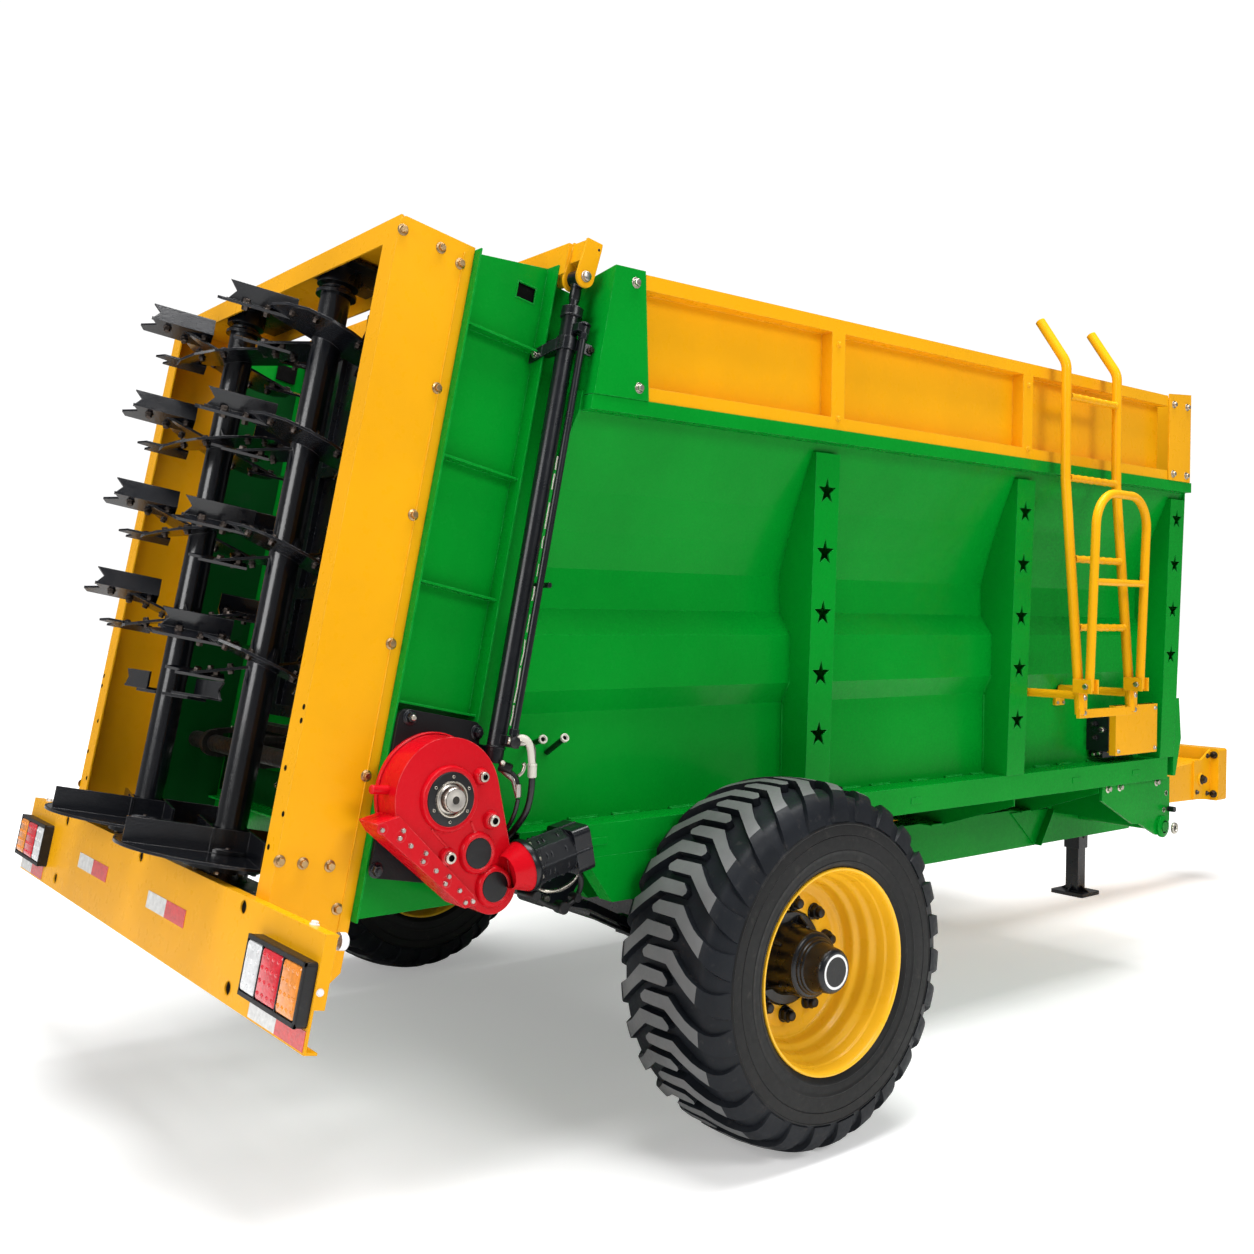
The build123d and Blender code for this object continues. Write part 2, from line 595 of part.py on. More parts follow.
beater_parts = {}
for word, y0, hand in [("right", -BEATER_Y, 1), ("left", BEATER_Y, -1)]:
    with BuildPart() as rotor:
        with BuildSketch(rear_level(884)):
            with Locations((BEATER_T, y0)):
                Circle(TUBE_R)
        extrude(amount=2566 - 884)
        with BuildSketch(rear_level(846)):
            with Locations((BEATER_T, y0)):
                Circle(ROTOR_PIN)
        extrude(amount=2600 - 846)
        with BuildSketch(rear_level(DISC_S)):
            with Locations((BEATER_T, y0)):
                Circle(DISC_R)
        extrude(amount=8)
        # four upright vanes on the disc, tangent to the tube
        for k in range(4):
            a = radians(90 * k + 165)
            ca, sa = cos(a), sin(a)
            pts = [(-60, 48), (285, 48), (285, 56), (-60, 56)]
            with BuildSketch(rear_level(DISC_S + 8)):
                Polygon(*[(BEATER_T + u * ca - v * sa, y0 + u * sa + v * ca)
                          for u, v in pts], align=None)
            extrude(amount=68)
        for s, heading in LEVELS[word]:
            for turn in (0, 180):
                h = heading + turn
                out, ahead = heading_dir(h), heading_dir(h + 90) * hand
                # flight from the paddle at h down to the knife half a turn on
                flat = UP * cos(FLIGHT_TILT) - out * sin(FLIGHT_TILT)
                with BuildSketch(Plane(origin=rear_point(BEATER_T, y0, s - 48),
                                       x_dir=ahead, z_dir=flat)):
                    Polygon(*FLIGHT, align=None)
                extrude(amount=8)
                # paddle: w counts towards its lower edge
                lean = UP * cos(PADDLE_TILT) + ahead * sin(PADDLE_TILT)
                with BuildSketch(Plane(origin=rear_point(BEATER_T, y0, s), x_dir=out,
                                       z_dir=lean)):
                    Polygon(*[(u, hand * w) for u, w in SOLE], align=None)
                extrude(amount=8)
                high = ahead * cos(PADDLE_TILT) - UP * sin(PADDLE_TILT)
                with BuildSketch(Plane(origin=rear_point(BEATER_T, y0, s) - high * 40,
                                       x_dir=out, z_dir=high * -hand)):
                    Polygon(*BLADE, align=None)
                extrude(amount=4, both=True)
                # knife at the lower end
                back = heading_dir(h + 180)
                with BuildSketch(Plane(origin=rear_point(BEATER_T, y0, s - 100),
                                       x_dir=back,
                                       z_dir=UP * cos(PADDLE_TILT) - ahead * sin(PADDLE_TILT))):
                    Polygon(*[(u, -hand * w) for u, w in KNIFE], align=None)
                extrude(amount=8)
        if word == "left":
            # plain arm below the flights
            for turn in (0, 180):
                out, ahead = heading_dir(92 + turn), heading_dir(182 + turn)
                with BuildSketch(Plane(origin=rear_point(BEATER_T, y0, 1308), x_dir=out,
                                       z_dir=UP)):
                    Polygon((30, -40), (210, -30), (210, 34), (30, 40), align=None)
                extrude(amount=10)
                with BuildSketch(Plane(origin=rear_point(BEATER_T, y0, 1318), x_dir=out,
                                       z_dir=UP)):
                    Polygon(*[(u, -w) for u, w in SOLE], align=None)
                extrude(amount=8)
                with BuildSketch(Plane(origin=rear_point(BEATER_T, y0, 1318) + ahead * 40,
                                       x_dir=out, z_dir=ahead * -1)):
                    Polygon(*BLADE, align=None)
                extrude(amount=4, both=True)
    beater_parts[word] = rotor
beater_right = beater_parts["right"]
beater_left = beater_parts["left"]

# ------------------------------------------------------------------ floor drive
def motor_plane(d):     # square to the motor, d along it from its flange
    return Plane(origin=(AXLE_X + MOTOR_X + d * cos(PITCH), MOTOR_Y, MOTOR_Z + d * sin(PITCH)),
                 x_dir=(0, 1, 0), z_dir=(cos(PITCH), 0, sin(PITCH)))


with BuildPart() as gearbox_plate:
    with BuildSketch(rear_side(-840)):
        with Locations((373, 1160)):
            RectangleRounded(262, 440, 26)
    extrude(amount=12)
    with BuildSketch(side(-840)):
        with Locations((SHAFT_X, SHAFT_Z)):
            Circle(34)
    extrude(amount=12, mode=Mode.SUBTRACT)

with BuildPart() as floor_drive_gearbox:
    with BuildSketch(side(-852)):
        with Locations((SHAFT_X, SHAFT_Z)):
            Circle(158)
        with Locations((SMALL_X, SMALL_Z)):
            Circle(74)
        make_hull()
    extrude(amount=98)
    with BuildSketch(side(-950)):
        with Locations((SHAFT_X, SHAFT_Z)):
            Circle(76)
        with Locations((-1011, 928)):
            Circle(46)
        with Locations((SMALL_X, SMALL_Z)):
            Circle(46)
    extrude(amount=10)
    # bell that carries the motor
    with BuildSketch(motor_plane(-26)):
        Circle(52)
    extrude(amount=26, taper=-28)
    with BuildSketch(side(-852)):
        with Locations((SHAFT_X, SHAFT_Z)):
            Circle(30.02)
    extrude(amount=120, mode=Mode.SUBTRACT)

with BuildPart() as floor_drive_motor:
    with BuildSketch(motor_plane(0)):
        Circle(69)
    extrude(amount=16)
    with BuildSketch(motor_plane(16)):
        RegularPolygon(60, 8, major_radius=False)
    extrude(amount=124)
    with BuildSketch(motor_plane(140)):
        RectangleRounded(124, 124, 18)
    extrude(amount=56)

# ------------------------------------------------------------------ rear door
DOOR_S0 = 1305.0
with BuildPart() as slurry_door:
    with BuildSketch(rear_cross(DOOR_T0)):
        with Locations((0, (DOOR_S0 + 2662) / 2)):
            Rectangle(2 * 776, 2662 - DOOR_S0)
    extrude(amount=DOOR_T1 - DOOR_T0)
    with BuildSketch(rear_cross(DOOR_T0 - 22)):
        for s in (DOOR_S0 + 20, 1750, 2200):
            with Locations((0, s)):
                Rectangle(2 * 770, 40)
        for y in (-500, 0, 500):
            with Locations((y, (DOOR_S0 + 2662) / 2)):
                Rectangle(40, 2662 - DOOR_S0)
    extrude(amount=22)

with BuildPart() as door_crossbeam:
    with BuildSketch(rear_cross(500)):
        with Locations((0, 2707)):
            Rectangle(2 * 866, 90)
    extrude(amount=70)
    for sign in SIDES:
        for y in (864, 926):
            with BuildSketch(rear_side(sign * y + 4)):
                with Locations((CYL_T, EYE_S)):
                    Circle(30)
                with Locations((CYL_T + 13, 2749)):
                    Rectangle(54, 18)
                make_hull()
            extrude(amount=8)
        with BuildSketch(rear_level(2696)):
            with Locations((CYL_T + 10, sign * CYL_Y)):
                Rectangle(50, 60)
        extrude(amount=56)
        with BuildSketch(rear_side(sign * 938)):
            with Locations((CYL_T, EYE_S)):
                Circle(13)
        extrude(amount=sign * 82)

with BuildPart() as cylinder_rods:
    for sign in SIDES:
        with BuildSketch(rear_side(sign * CYL_Y + 18)):
            with Locations((CYL_T, EYE_S)):
                Circle(24)
                Circle(13.05, mode=Mode.SUBTRACT)
        extrude(amount=36)
        with BuildSketch(rear_level(2590)):
            with Locations((CYL_T, sign * CYL_Y)):
                Circle(15)
        extrude(amount=EYE_S - 20 - 2590)
        with BuildSketch(rear_level(1345)):
            with Locations((CYL_T, sign * CYL_Y)):
                Circle(ROD_R)
        extrude(amount=EYE_S - 20 - 1345)

with BuildPart() as lift_cylinders:
    for sign in SIDES:
        # barrel, gland: lowest s, highest s, outer radius, bore
        for s0, s1, outer, bore in [(1280, 2533, 25.5, 18), (2533, 2561, 31, ROD_R + 0.05)]:
            with BuildSketch(rear_level(s0)):
                with Locations((CYL_T, sign * CYL_Y)):
                    Circle(outer)
                    Circle(bore, mode=Mode.SUBTRACT)
            extrude(amount=s1 - s0)
        with BuildSketch(rear_level(1280)):
            with Locations((CYL_T, sign * CYL_Y)):
                Circle(25.5)
        extrude(amount=38)
        # oil pipe beside the barrel
        with BuildSketch(rear_level(1345)):
            with Locations((PIPE_T, sign * PIPE_Y)):
                Circle(10)
        extrude(amount=1165)
        for s0 in (2488, 1335):
            with BuildSketch(rear_level(s0)):
                with Locations((PIPE_T - 8, sign * (PIPE_Y - 12))):
                    Rectangle(40, 40)
            extrude(amount=22)
        # brackets on the side sheet behind the barrel
        for s0 in (1285, 2437):
            with BuildSketch(rear_level(s0)):
                with Locations((CYL_T, sign * 832)):
                    Rectangle(30, 83)
            extrude(amount=38)

# ------------------------------------------------------------------ front end
with BuildPart() as front_brackets:
    for sign in SIDES:
        with BuildSketch(side(sign * 874 + 6)):
            Polygon((2193, 861), (2756, 861), (2761, 670), (2729, 609), (2645, 611),
                    (2503, 672), (2446, 677), (2190, 797), align=None)
            with Locations((2709, 717), (2727, 790)):
                Circle(10, mode=Mode.SUBTRACT)
        extrude(amount=12)
        with BuildSketch(side(sign * 898)):
            with Locations((PIVOT_X, PIVOT_Z)):
                Circle(22)
        extrude(amount=sign * 40)
    with BuildSketch(side(868)):
        with Locations((PIVOT_X, PIVOT_Z)):
            Circle(22)
    extrude(amount=1736)

with BuildPart() as drawbar:
    with BuildSketch(side(BAR_Y)):
        Polygon((1450, 600), (1600, 540), (1720, 520), (4300, 520), (4700, 512), (4700, 742),
                (4300, CH_Z1), (1450, CH_Z1), align=None)
        with Locations((PIVOT_X, PIVOT_Z)):
            Circle(22.1, mode=Mode.SUBTRACT)
    extrude(amount=2 * BAR_Y)
    with BuildSketch(side(BAR_Y - 10)):
        Polygon((1440, 616), (1604, 551), (1722, 530), (4300, 530), (4688, 523),
                (4688, 730), (4300, CH_Z1 - 10), (1440, CH_Z1 - 10), align=None)
    extrude(amount=2 * BAR_Y - 20, mode=Mode.SUBTRACT)

with BuildPart() as hitch_head:
    with BuildSketch(cross(4752)):
        with Locations((0, 655)):
            RectangleRounded(360, 306, 14)
    extrude(amount=14)
    with BuildSketch(cross(4766)):
        with Locations((0, 655)):
            RectangleRounded(360, 306, 14)
            RectangleRounded(332, 278, 8, mode=Mode.SUBTRACT)
    extrude(amount=66)
    with BuildSketch(cross(4832)):
        with Locations((0, 655)):
            RectangleRounded(360, 306, 14)
        with Locations((-140, 655 - 110), (140, 655 - 110), (-140, 655 + 110),
                       (140, 655 + 110)):
            Circle(11, mode=Mode.SUBTRACT)
    extrude(amount=20)
    # socket that takes the end of the drawbar
    with BuildSketch(side(BAR_Y + 12), side(-BAR_Y)):
        Polygon((4560, 520), (4752, 505), (4752, 800), (4640, 745), (4560, 745),
                align=None)
    extrude(amount=12)

with BuildPart() as jack_tube:
    with BuildSketch(level(262)):
        with Locations((JACK_X, JACK_Y)):
            Rectangle(90, 90)
            Rectangle(77, 77, mode=Mode.SUBTRACT)
    extrude(amount=500)
    with BuildSketch(level(762)):
        with Locations((JACK_X, JACK_Y)):
            Rectangle(96, 96)
    extrude(amount=12)
    with BuildSketch(level(774)):
        with Locations((JACK_X, JACK_Y)):
            Circle(24)
    extrude(amount=44)
    with BuildSketch(side(BAR_Y)):
        with Locations((JACK_X, 610)):
            Rectangle(140, 150)
    extrude(amount=-25)

with BuildPart() as jack_leg:
    with BuildSketch(level(20)):
        with Locations((JACK_X, JACK_Y)):
            Rectangle(74, 74)
    extrude(amount=500)
    with BuildSketch(level(0)):
        with Locations((JACK_X, JACK_Y)):
            RectangleRounded(190, 190, 12)
    extrude(amount=20)

with BuildPart() as pto_shaft:
    # stations: x from, x to, radius
    for x0, x1, r in [(-1280, 2700, PTO_R), (2700, 2800, 22), (2800, 2935, 17.4)]:
        with BuildSketch(cross(x0)):
            with Locations((0, SHAFT_DZ)):
                Circle(r)
        extrude(amount=x1 - x0)

with BuildPart() as pto_bearing:
    with BuildSketch(cross(FRONT_X + 6)):
        with Locations((0, 801)):
            Rectangle(220, 180)
    extrude(amount=12)
    with BuildSketch(cross(FRONT_X + 18)):
        with Locations((0, SHAFT_DZ)):
            Circle(60)
    extrude(amount=40)
    with BuildSketch(cross(FRONT_X)):
        with Locations((0, SHAFT_DZ)):
            Circle(22.05)
    extrude(amount=80, mode=Mode.SUBTRACT)

# ------------------------------------------------------------------ ladder
# stiles: y, z from foot to hook
STILE = [(-1110, 1200), (-1037.5, 2090), (-1034, 2535), (-922, 2712)]


def stile_y(z):
    if z < 2090:
        return -1110 + 72.5 * (z - 1200) / 890
    return -1037.5 + 3.5 * (z - 2090) / 445


with BuildPart() as ladder_upper:
    for x in (LAD_X0, LAD_X1):
        with BuildLine(cross(x)) as stile_line:
            FilletPolyline(*STILE, radius=90)
        with BuildSketch(Plane(origin=stile_line.line @ 0, z_dir=stile_line.line % 0)):
            Circle(LAD_R)
        sweep(path=stile_line.line)
        # arm back to its foot plate on the hopper wall
        with BuildSketch(side(-1108)):
            with Locations((x, ARM_Z)):
                Circle(16)
        extrude(amount=-(1108 - 810))
        with BuildSketch(side(-813)):
            with Locations((x, 1234)):
                Rectangle(64, 62)
        extrude(amount=-(813 - 800.1))
        # clamp with two ears for the folding section
        with BuildSketch(cross(x - 26), cross(x + 19)):
            with Locations((-1130.5, HINGE_Z)):
                Rectangle(75, 52)
            with Locations((HINGE_Y, HINGE_Z)):
                Circle(8.05, mode=Mode.SUBTRACT)
        extrude(amount=7)
        with BuildSketch(cross(x - 26)):
            with Locations((-1101, HINGE_Z)):
                Rectangle(14, 52)
        extrude(amount=52)
        # strap down to the crossbar
        with BuildSketch(side(-1116)):
            with Locations((x + 10, 1236)):
                Rectangle(58, 100)
        extrude(amount=-10)
    for z in (2410, 2099, 1788, 1527):
        with BuildSketch(cross(LAD_X0)):
            with Locations((stile_y(z), z)):
                Circle(13)
        extrude(amount=LAD_X1 - LAD_X0)
    with BuildSketch(side(-1120)):
        with Locations(((LAD_X0 + LAD_X1) / 2 + 10, 1202)):
            Rectangle(LAD_X1 - LAD_X0 + 58, 32)
    extrude(amount=-14)

with BuildPart() as ladder_lower:
    # folded-up section: legs and rounded top, then one rung
    foot, top = (-1145.5, 1290.0), (-1165.0, 2035.0)
    with BuildLine() as loop_line:
        FilletPolyline(*[(AXLE_X + x, y, z) for x, y, z in
                         [(LAD_X0, *foot), (LAD_X0, *top), (LAD_X1, *top), (LAD_X1, *foot)]],
                       radius=125)
    with BuildSketch(Plane(origin=loop_line.line @ 0, z_dir=loop_line.line % 0)):
        Circle(16)
    sweep(path=loop_line.line)
    with BuildSketch(cross(LAD_X0)):
        with Locations((-1156, 1700)):
            Circle(13)
    extrude(amount=LAD_X1 - LAD_X0)
    for x in (LAD_X0, LAD_X1):
        with BuildSketch(cross(x - 30)):
            with Locations((HINGE_Y, HINGE_Z)):
                Circle(8)
        extrude(amount=60)

# ------------------------------------------------------------------ controls
with BuildPart() as valve_block:
    with BuildSketch(side(-800)):
        with Locations((2375, 1078)):
            Rectangle(350, 145)
    extrude(amount=98)
    with BuildSketch(side(-800)):
        with Locations((2375, 990)):
            Rectangle(300, 32)
    extrude(amount=60)

with BuildPart() as control_box:
    # sheet cover, open behind
    with BuildSketch(side(-898.2)):
        with Locations((2375, 1094.5)):
            Rectangle(340, 209)
    extrude(amount=28.8)
    with BuildSketch(side(-898)):
        with Locations((2375, 1094.5)):
            Rectangle(332, 201)
    extrude(amount=25, mode=Mode.SUBTRACT)

# ------------------------------------------------------------------ hoses
# free runs between the cylinder ports and the block on the side panel:
# name, radius, side, points x, |y|, z
HOSES = [
    ("hose_right_1", 9.0, -1, [(-840, 957, 1112), (-842, 957, 1038), (-858, 905, 965),
                               (-866, 845, 915), (-890, 813, 852)]),
    ("hose_right_2", 6.0, -1, [(-884, 955, 1058), (-886, 945, 1010), (-890, 885, 945),
                               (-898, 835, 900), (-922, 812, 852)]),
    ("hose_left_1", 9.0, 1, [(-840, 957, 1112), (-842, 957, 1038), (-858, 905, 965),
                             (-866, 845, 915), (-890, 813, 852)]),
    ("hose_left_2", 6.0, 1, [(-884, 955, 1058), (-886, 945, 1010), (-890, 885, 945),
                             (-898, 835, 900), (-922, 812, 852)]),
]


def bend_radius(points):
    worst = None
    for a, b, c in zip(points, points[1:], points[2:]):
        u, v = Vector(*b) - Vector(*a), Vector(*c) - Vector(*b)
        turn = radians(u.get_angle(v))
        r = 0.45 * min(u.length, v.length) / tan(turn / 2)
        worst = r if worst is None else min(worst, r)
    return worst


hoses = {}
for name, radius, sign, route in HOSES:
    points = [(AXLE_X + x, sign * y, z) for x, y, z in route]
    bend = bend_radius(points)
    length = sum((Vector(*b) - Vector(*a)).length for a, b in zip(points, points[1:]))
    print(name, "hose radius", radius, "bend radius", round(bend, 1), "run", round(length))
    with BuildPart() as hose:
        with BuildLine() as hose_line:
            FilletPolyline(*points, radius=bend)
        with BuildSketch(Plane(origin=hose_line.line @ 0, z_dir=hose_line.line % 0)):
            Circle(radius)
        sweep(path=hose_line.line)
    hoses[name] = hose
hose_right_1 = hoses["hose_right_1"]
hose_right_2 = hoses["hose_right_2"]
hose_left_1 = hoses["hose_left_1"]
hose_left_2 = hoses["hose_left_2"]

with BuildPart() as hose_fittings:
    for sign in SIDES:
        # elbow and short pipe at the cylinder: radius, bend, points
        for r, bend, pts in [(10, 24, [(-878, 944, 1207), (-840, 957, 1207), (-840, 957, 1114)]),
                             (8, 12, [(-914, 912, 1137), (-892, 946, 1108), (-884, 955, 1062)])]:
            with BuildLine() as pipe_line:
                FilletPolyline(*[(AXLE_X + x, sign * y, z) for x, y, z in pts], radius=bend)
            with BuildSketch(Plane(origin=pipe_line.line @ 0, z_dir=pipe_line.line % 0)):
                Circle(r)
            sweep(path=pipe_line.line)
        with BuildSketch(side(sign * 790)):
            with Locations((-905, 822)):
                Rectangle(70, 50)
        extrude(amount=-sign * 40)

# ------------------------------------------------------------------ export
tyre_right.part.label = "tyre_right"
tyre_left.part.label = "tyre_left"
rim_right.part.label = "rim_right"
rim_left.part.label = "rim_left"
hub_right.part.label = "hub_right"
hub_left.part.label = "hub_left"
axle_beam.part.label = "axle_beam"
leaf_springs.part.label = "leaf_springs"
chassis_rails.part.label = "chassis_rails"
cross_members.part.label = "cross_members"
spring_carriers.part.label = "spring_carriers"
side_brackets.part.label = "side_brackets"
sills.part.label = "sills"
hopper_sides.part.label = "hopper_sides"
side_posts.part.label = "side_posts"
top_rails.part.label = "top_rails"
side_extensions.part.label = "side_extensions"
corner_covers.part.label = "corner_covers"
front_panel.part.label = "front_panel"
front_extension.part.label = "front_extension"
hopper_floor.part.label = "hopper_floor"
floor_conveyor.part.label = "floor_conveyor"
rear_side_panels.part.label = "rear_side_panels"
rear_frame.part.label = "rear_frame"
bumper.part.label = "bumper"
tail_lights.part.label = "tail_lights"
beater_drive.part.label = "beater_drive"
beater_right.part.label = "beater_right"
beater_left.part.label = "beater_left"
gearbox_plate.part.label = "gearbox_plate"
floor_drive_gearbox.part.label = "floor_drive_gearbox"
floor_drive_motor.part.label = "floor_drive_motor"
slurry_door.part.label = "slurry_door"
door_crossbeam.part.label = "door_crossbeam"
cylinder_rods.part.label = "cylinder_rods"
lift_cylinders.part.label = "lift_cylinders"
front_brackets.part.label = "front_brackets"
drawbar.part.label = "drawbar"
hitch_head.part.label = "hitch_head"
jack_tube.part.label = "jack_tube"
jack_leg.part.label = "jack_leg"
pto_shaft.part.label = "pto_shaft"
pto_bearing.part.label = "pto_bearing"
ladder_upper.part.label = "ladder_upper"
ladder_lower.part.label = "ladder_lower"
valve_block.part.label = "valve_block"
control_box.part.label = "control_box"
hose_fittings.part.label = "hose_fittings"
hose_right_1.part.label = "hose_right_1"
hose_right_2.part.label = "hose_right_2"
hose_left_1.part.label = "hose_left_1"
hose_left_2.part.label = "hose_left_2"

export_step(tyre_right.part, "parts/tyre_right.step")
export_step(tyre_left.part, "parts/tyre_left.step")
export_step(rim_right.part, "parts/rim_right.step")
export_step(rim_left.part, "parts/rim_left.step")
export_step(hub_right.part, "parts/hub_right.step")
export_step(hub_left.part, "parts/hub_left.step")
export_step(axle_beam.part, "parts/axle_beam.step")
export_step(leaf_springs.part, "parts/leaf_springs.step")
export_step(chassis_rails.part, "parts/chassis_rails.step")
export_step(cross_members.part, "parts/cross_members.step")
export_step(spring_carriers.part, "parts/spring_carriers.step")
export_step(side_brackets.part, "parts/side_brackets.step")
export_step(sills.part, "parts/sills.step")
export_step(hopper_sides.part, "parts/hopper_sides.step")
export_step(side_posts.part, "parts/side_posts.step")
export_step(top_rails.part, "parts/top_rails.step")
export_step(side_extensions.part, "parts/side_extensions.step")
export_step(corner_covers.part, "parts/corner_covers.step")
export_step(front_panel.part, "parts/front_panel.step")
export_step(front_extension.part, "parts/front_extension.step")
export_step(hopper_floor.part, "parts/hopper_floor.step")
export_step(floor_conveyor.part, "parts/floor_conveyor.step")
export_step(rear_side_panels.part, "parts/rear_side_panels.step")
export_step(rear_frame.part, "parts/rear_frame.step")
export_step(bumper.part, "parts/bumper.step")
export_step(tail_lights.part, "parts/tail_lights.step")
export_step(beater_drive.part, "parts/beater_drive.step")
export_step(beater_right.part, "parts/beater_right.step")
export_step(beater_left.part, "parts/beater_left.step")
export_step(gearbox_plate.part, "parts/gearbox_plate.step")
export_step(floor_drive_gearbox.part, "parts/floor_drive_gearbox.step")
export_step(floor_drive_motor.part, "parts/floor_drive_motor.step")
export_step(slurry_door.part, "parts/slurry_door.step")
export_step(door_crossbeam.part, "parts/door_crossbeam.step")
export_step(cylinder_rods.part, "parts/cylinder_rods.step")
export_step(lift_cylinders.part, "parts/lift_cylinders.step")
export_step(front_brackets.part, "parts/front_brackets.step")
export_step(drawbar.part, "parts/drawbar.step")
export_step(hitch_head.part, "parts/hitch_head.step")
export_step(jack_tube.part, "parts/jack_tube.step")
export_step(jack_leg.part, "parts/jack_leg.step")
export_step(pto_shaft.part, "parts/pto_shaft.step")
export_step(pto_bearing.part, "parts/pto_bearing.step")
export_step(ladder_upper.part, "parts/ladder_upper.step")
export_step(ladder_lower.part, "parts/ladder_lower.step")
export_step(valve_block.part, "parts/valve_block.step")
export_step(control_box.part, "parts/control_box.step")
export_step(hose_fittings.part, "parts/hose_fittings.step")
export_step(hose_right_1.part, "parts/hose_right_1.step")
export_step(hose_right_2.part, "parts/hose_right_2.step")
export_step(hose_left_1.part, "parts/hose_left_1.step")
export_step(hose_left_2.part, "parts/hose_left_2.step")
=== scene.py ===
import math
import random

import bmesh
import bpy
import numpy as np
from mathutils import Matrix, Vector


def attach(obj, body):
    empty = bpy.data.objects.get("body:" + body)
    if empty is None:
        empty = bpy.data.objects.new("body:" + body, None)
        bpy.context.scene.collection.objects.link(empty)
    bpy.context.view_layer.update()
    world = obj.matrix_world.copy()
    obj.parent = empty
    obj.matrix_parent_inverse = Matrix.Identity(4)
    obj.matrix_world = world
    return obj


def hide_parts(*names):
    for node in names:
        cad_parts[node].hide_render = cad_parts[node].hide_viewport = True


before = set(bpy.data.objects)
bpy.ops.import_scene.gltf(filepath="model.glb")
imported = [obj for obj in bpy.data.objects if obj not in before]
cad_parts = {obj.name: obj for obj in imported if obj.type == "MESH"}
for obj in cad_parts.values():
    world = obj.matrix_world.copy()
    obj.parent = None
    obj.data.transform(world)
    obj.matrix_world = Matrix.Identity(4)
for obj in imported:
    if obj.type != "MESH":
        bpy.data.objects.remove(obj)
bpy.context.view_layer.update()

# ---------------------------------------------------------------- frame numbers (metres)
AX = -1.554                       # wheel axle
REAR_X = -1.696                   # rear flange plane, counted from the axle
TILT = math.radians(11.3)
S, C = math.sin(TILT), math.cos(TILT)
D_UP = Vector((S, 0, C))          # up along the tilted rear end
D_FWD = Vector((C, 0, -S))        # forward, square to it
WHEEL_Y, TYRE_R = 1.112, 0.535


def P(x, y, z):
    """Point from coordinates counted from the axle."""
    return Vector((AX + x, y, z))


def T(t, y, s):
    """Point of the tilted rear end."""
    return Vector((AX + REAR_X + t * C + s * S, y, s * C - t * S))


# ---------------------------------------------------------------- camera
scene = bpy.context.scene
cam_data = bpy.data.cameras.new("camera")
cam = bpy.data.objects.new("camera", cam_data)
scene.collection.objects.link(cam)
scene.camera = cam
F_PX, CX, CY = 1236.26, 539.69, 620.56
yaw, pitch, roll = math.radians(36.618), math.radians(-0.323), math.radians(-0.754)
fwd = Vector((math.sin(yaw) * math.cos(pitch), math.cos(yaw) * math.cos(pitch), math.sin(pitch)))
right0 = Vector((math.cos(yaw), -math.sin(yaw), 0))
down0 = fwd.cross(right0)
right = math.cos(roll) * right0 + math.sin(roll) * down0
down = -math.sin(roll) * right0 + math.cos(roll) * down0
rot = Matrix((right, -down, -fwd)).transposed()
cam.matrix_world = Matrix.Translation(Vector((AX - 2.807, -3.629, 1.553))) @ rot.to_4x4()
cam_data.sensor_width = 36.0
cam_data.lens = F_PX / 1254 * 36.0
cam_data.shift_x = (627 - CX) / 1254
cam_data.shift_y = (CY - 627) / 1254
cam_data.clip_start = 0.05
cam_data.clip_end = 60


# ---------------------------------------------------------------- materials
def new_mat(name):
    m = bpy.data.materials.new(name)
    m.use_nodes = True
    nt = m.node_tree
    return m, nt, nt.nodes["Principled BSDF"]


def add(nt, kind, **props):
    n = nt.nodes.new(kind)
    for k, v in props.items():
        setattr(n, k, v)
    return n


def noise(nt, scale, detail=4.0, rough=0.55, coord="Object", stretch=None):
    tc = add(nt, "ShaderNodeTexCoord")
    n = add(nt, "ShaderNodeTexNoise")
    n.inputs["Scale"].default_value = scale
    n.inputs["Detail"].default_value = detail
    n.inputs["Roughness"].default_value = rough
    if stretch:
        mp = add(nt, "ShaderNodeMapping")
        mp.inputs["Scale"].default_value = stretch
        nt.links.new(tc.outputs[coord], mp.inputs["Vector"])
        nt.links.new(mp.outputs["Vector"], n.inputs["Vector"])
    else:
        nt.links.new(tc.outputs[coord], n.inputs["Vector"])
    return n


def ramp(nt, src, stops, interp="LINEAR"):
    r = add(nt, "ShaderNodeValToRGB")
    r.color_ramp.interpolation = interp
    els = r.color_ramp.elements
    while len(els) < len(stops):
        els.new(0.5)
    for e, (pos, col) in zip(els, stops):
        e.position = pos
        e.color = (*col, 1) if len(col) == 3 else col
    nt.links.new(src, r.inputs["Fac"])
    return r


def math_node(nt, op, a, b=None):
    n = add(nt, "ShaderNodeMath", operation=op)
    for i, v in enumerate((a, b)):
        if v is None:
            continue
        if isinstance(v, (int, float)):
            n.inputs[i].default_value = v
        else:
            nt.links.new(v, n.inputs[i])
    return n.outputs[0]


def mix(nt, fac, a, b):
    n = add(nt, "ShaderNodeMix", data_type="RGBA")
    nt.links.new(fac, n.inputs["Factor"])
    for sock, v in (("A", a), ("B", b)):
        if isinstance(v, tuple):
            n.inputs[sock].default_value = (*v, 1)
        else:
            nt.links.new(v, n.inputs[sock])
    return n.outputs["Result"]


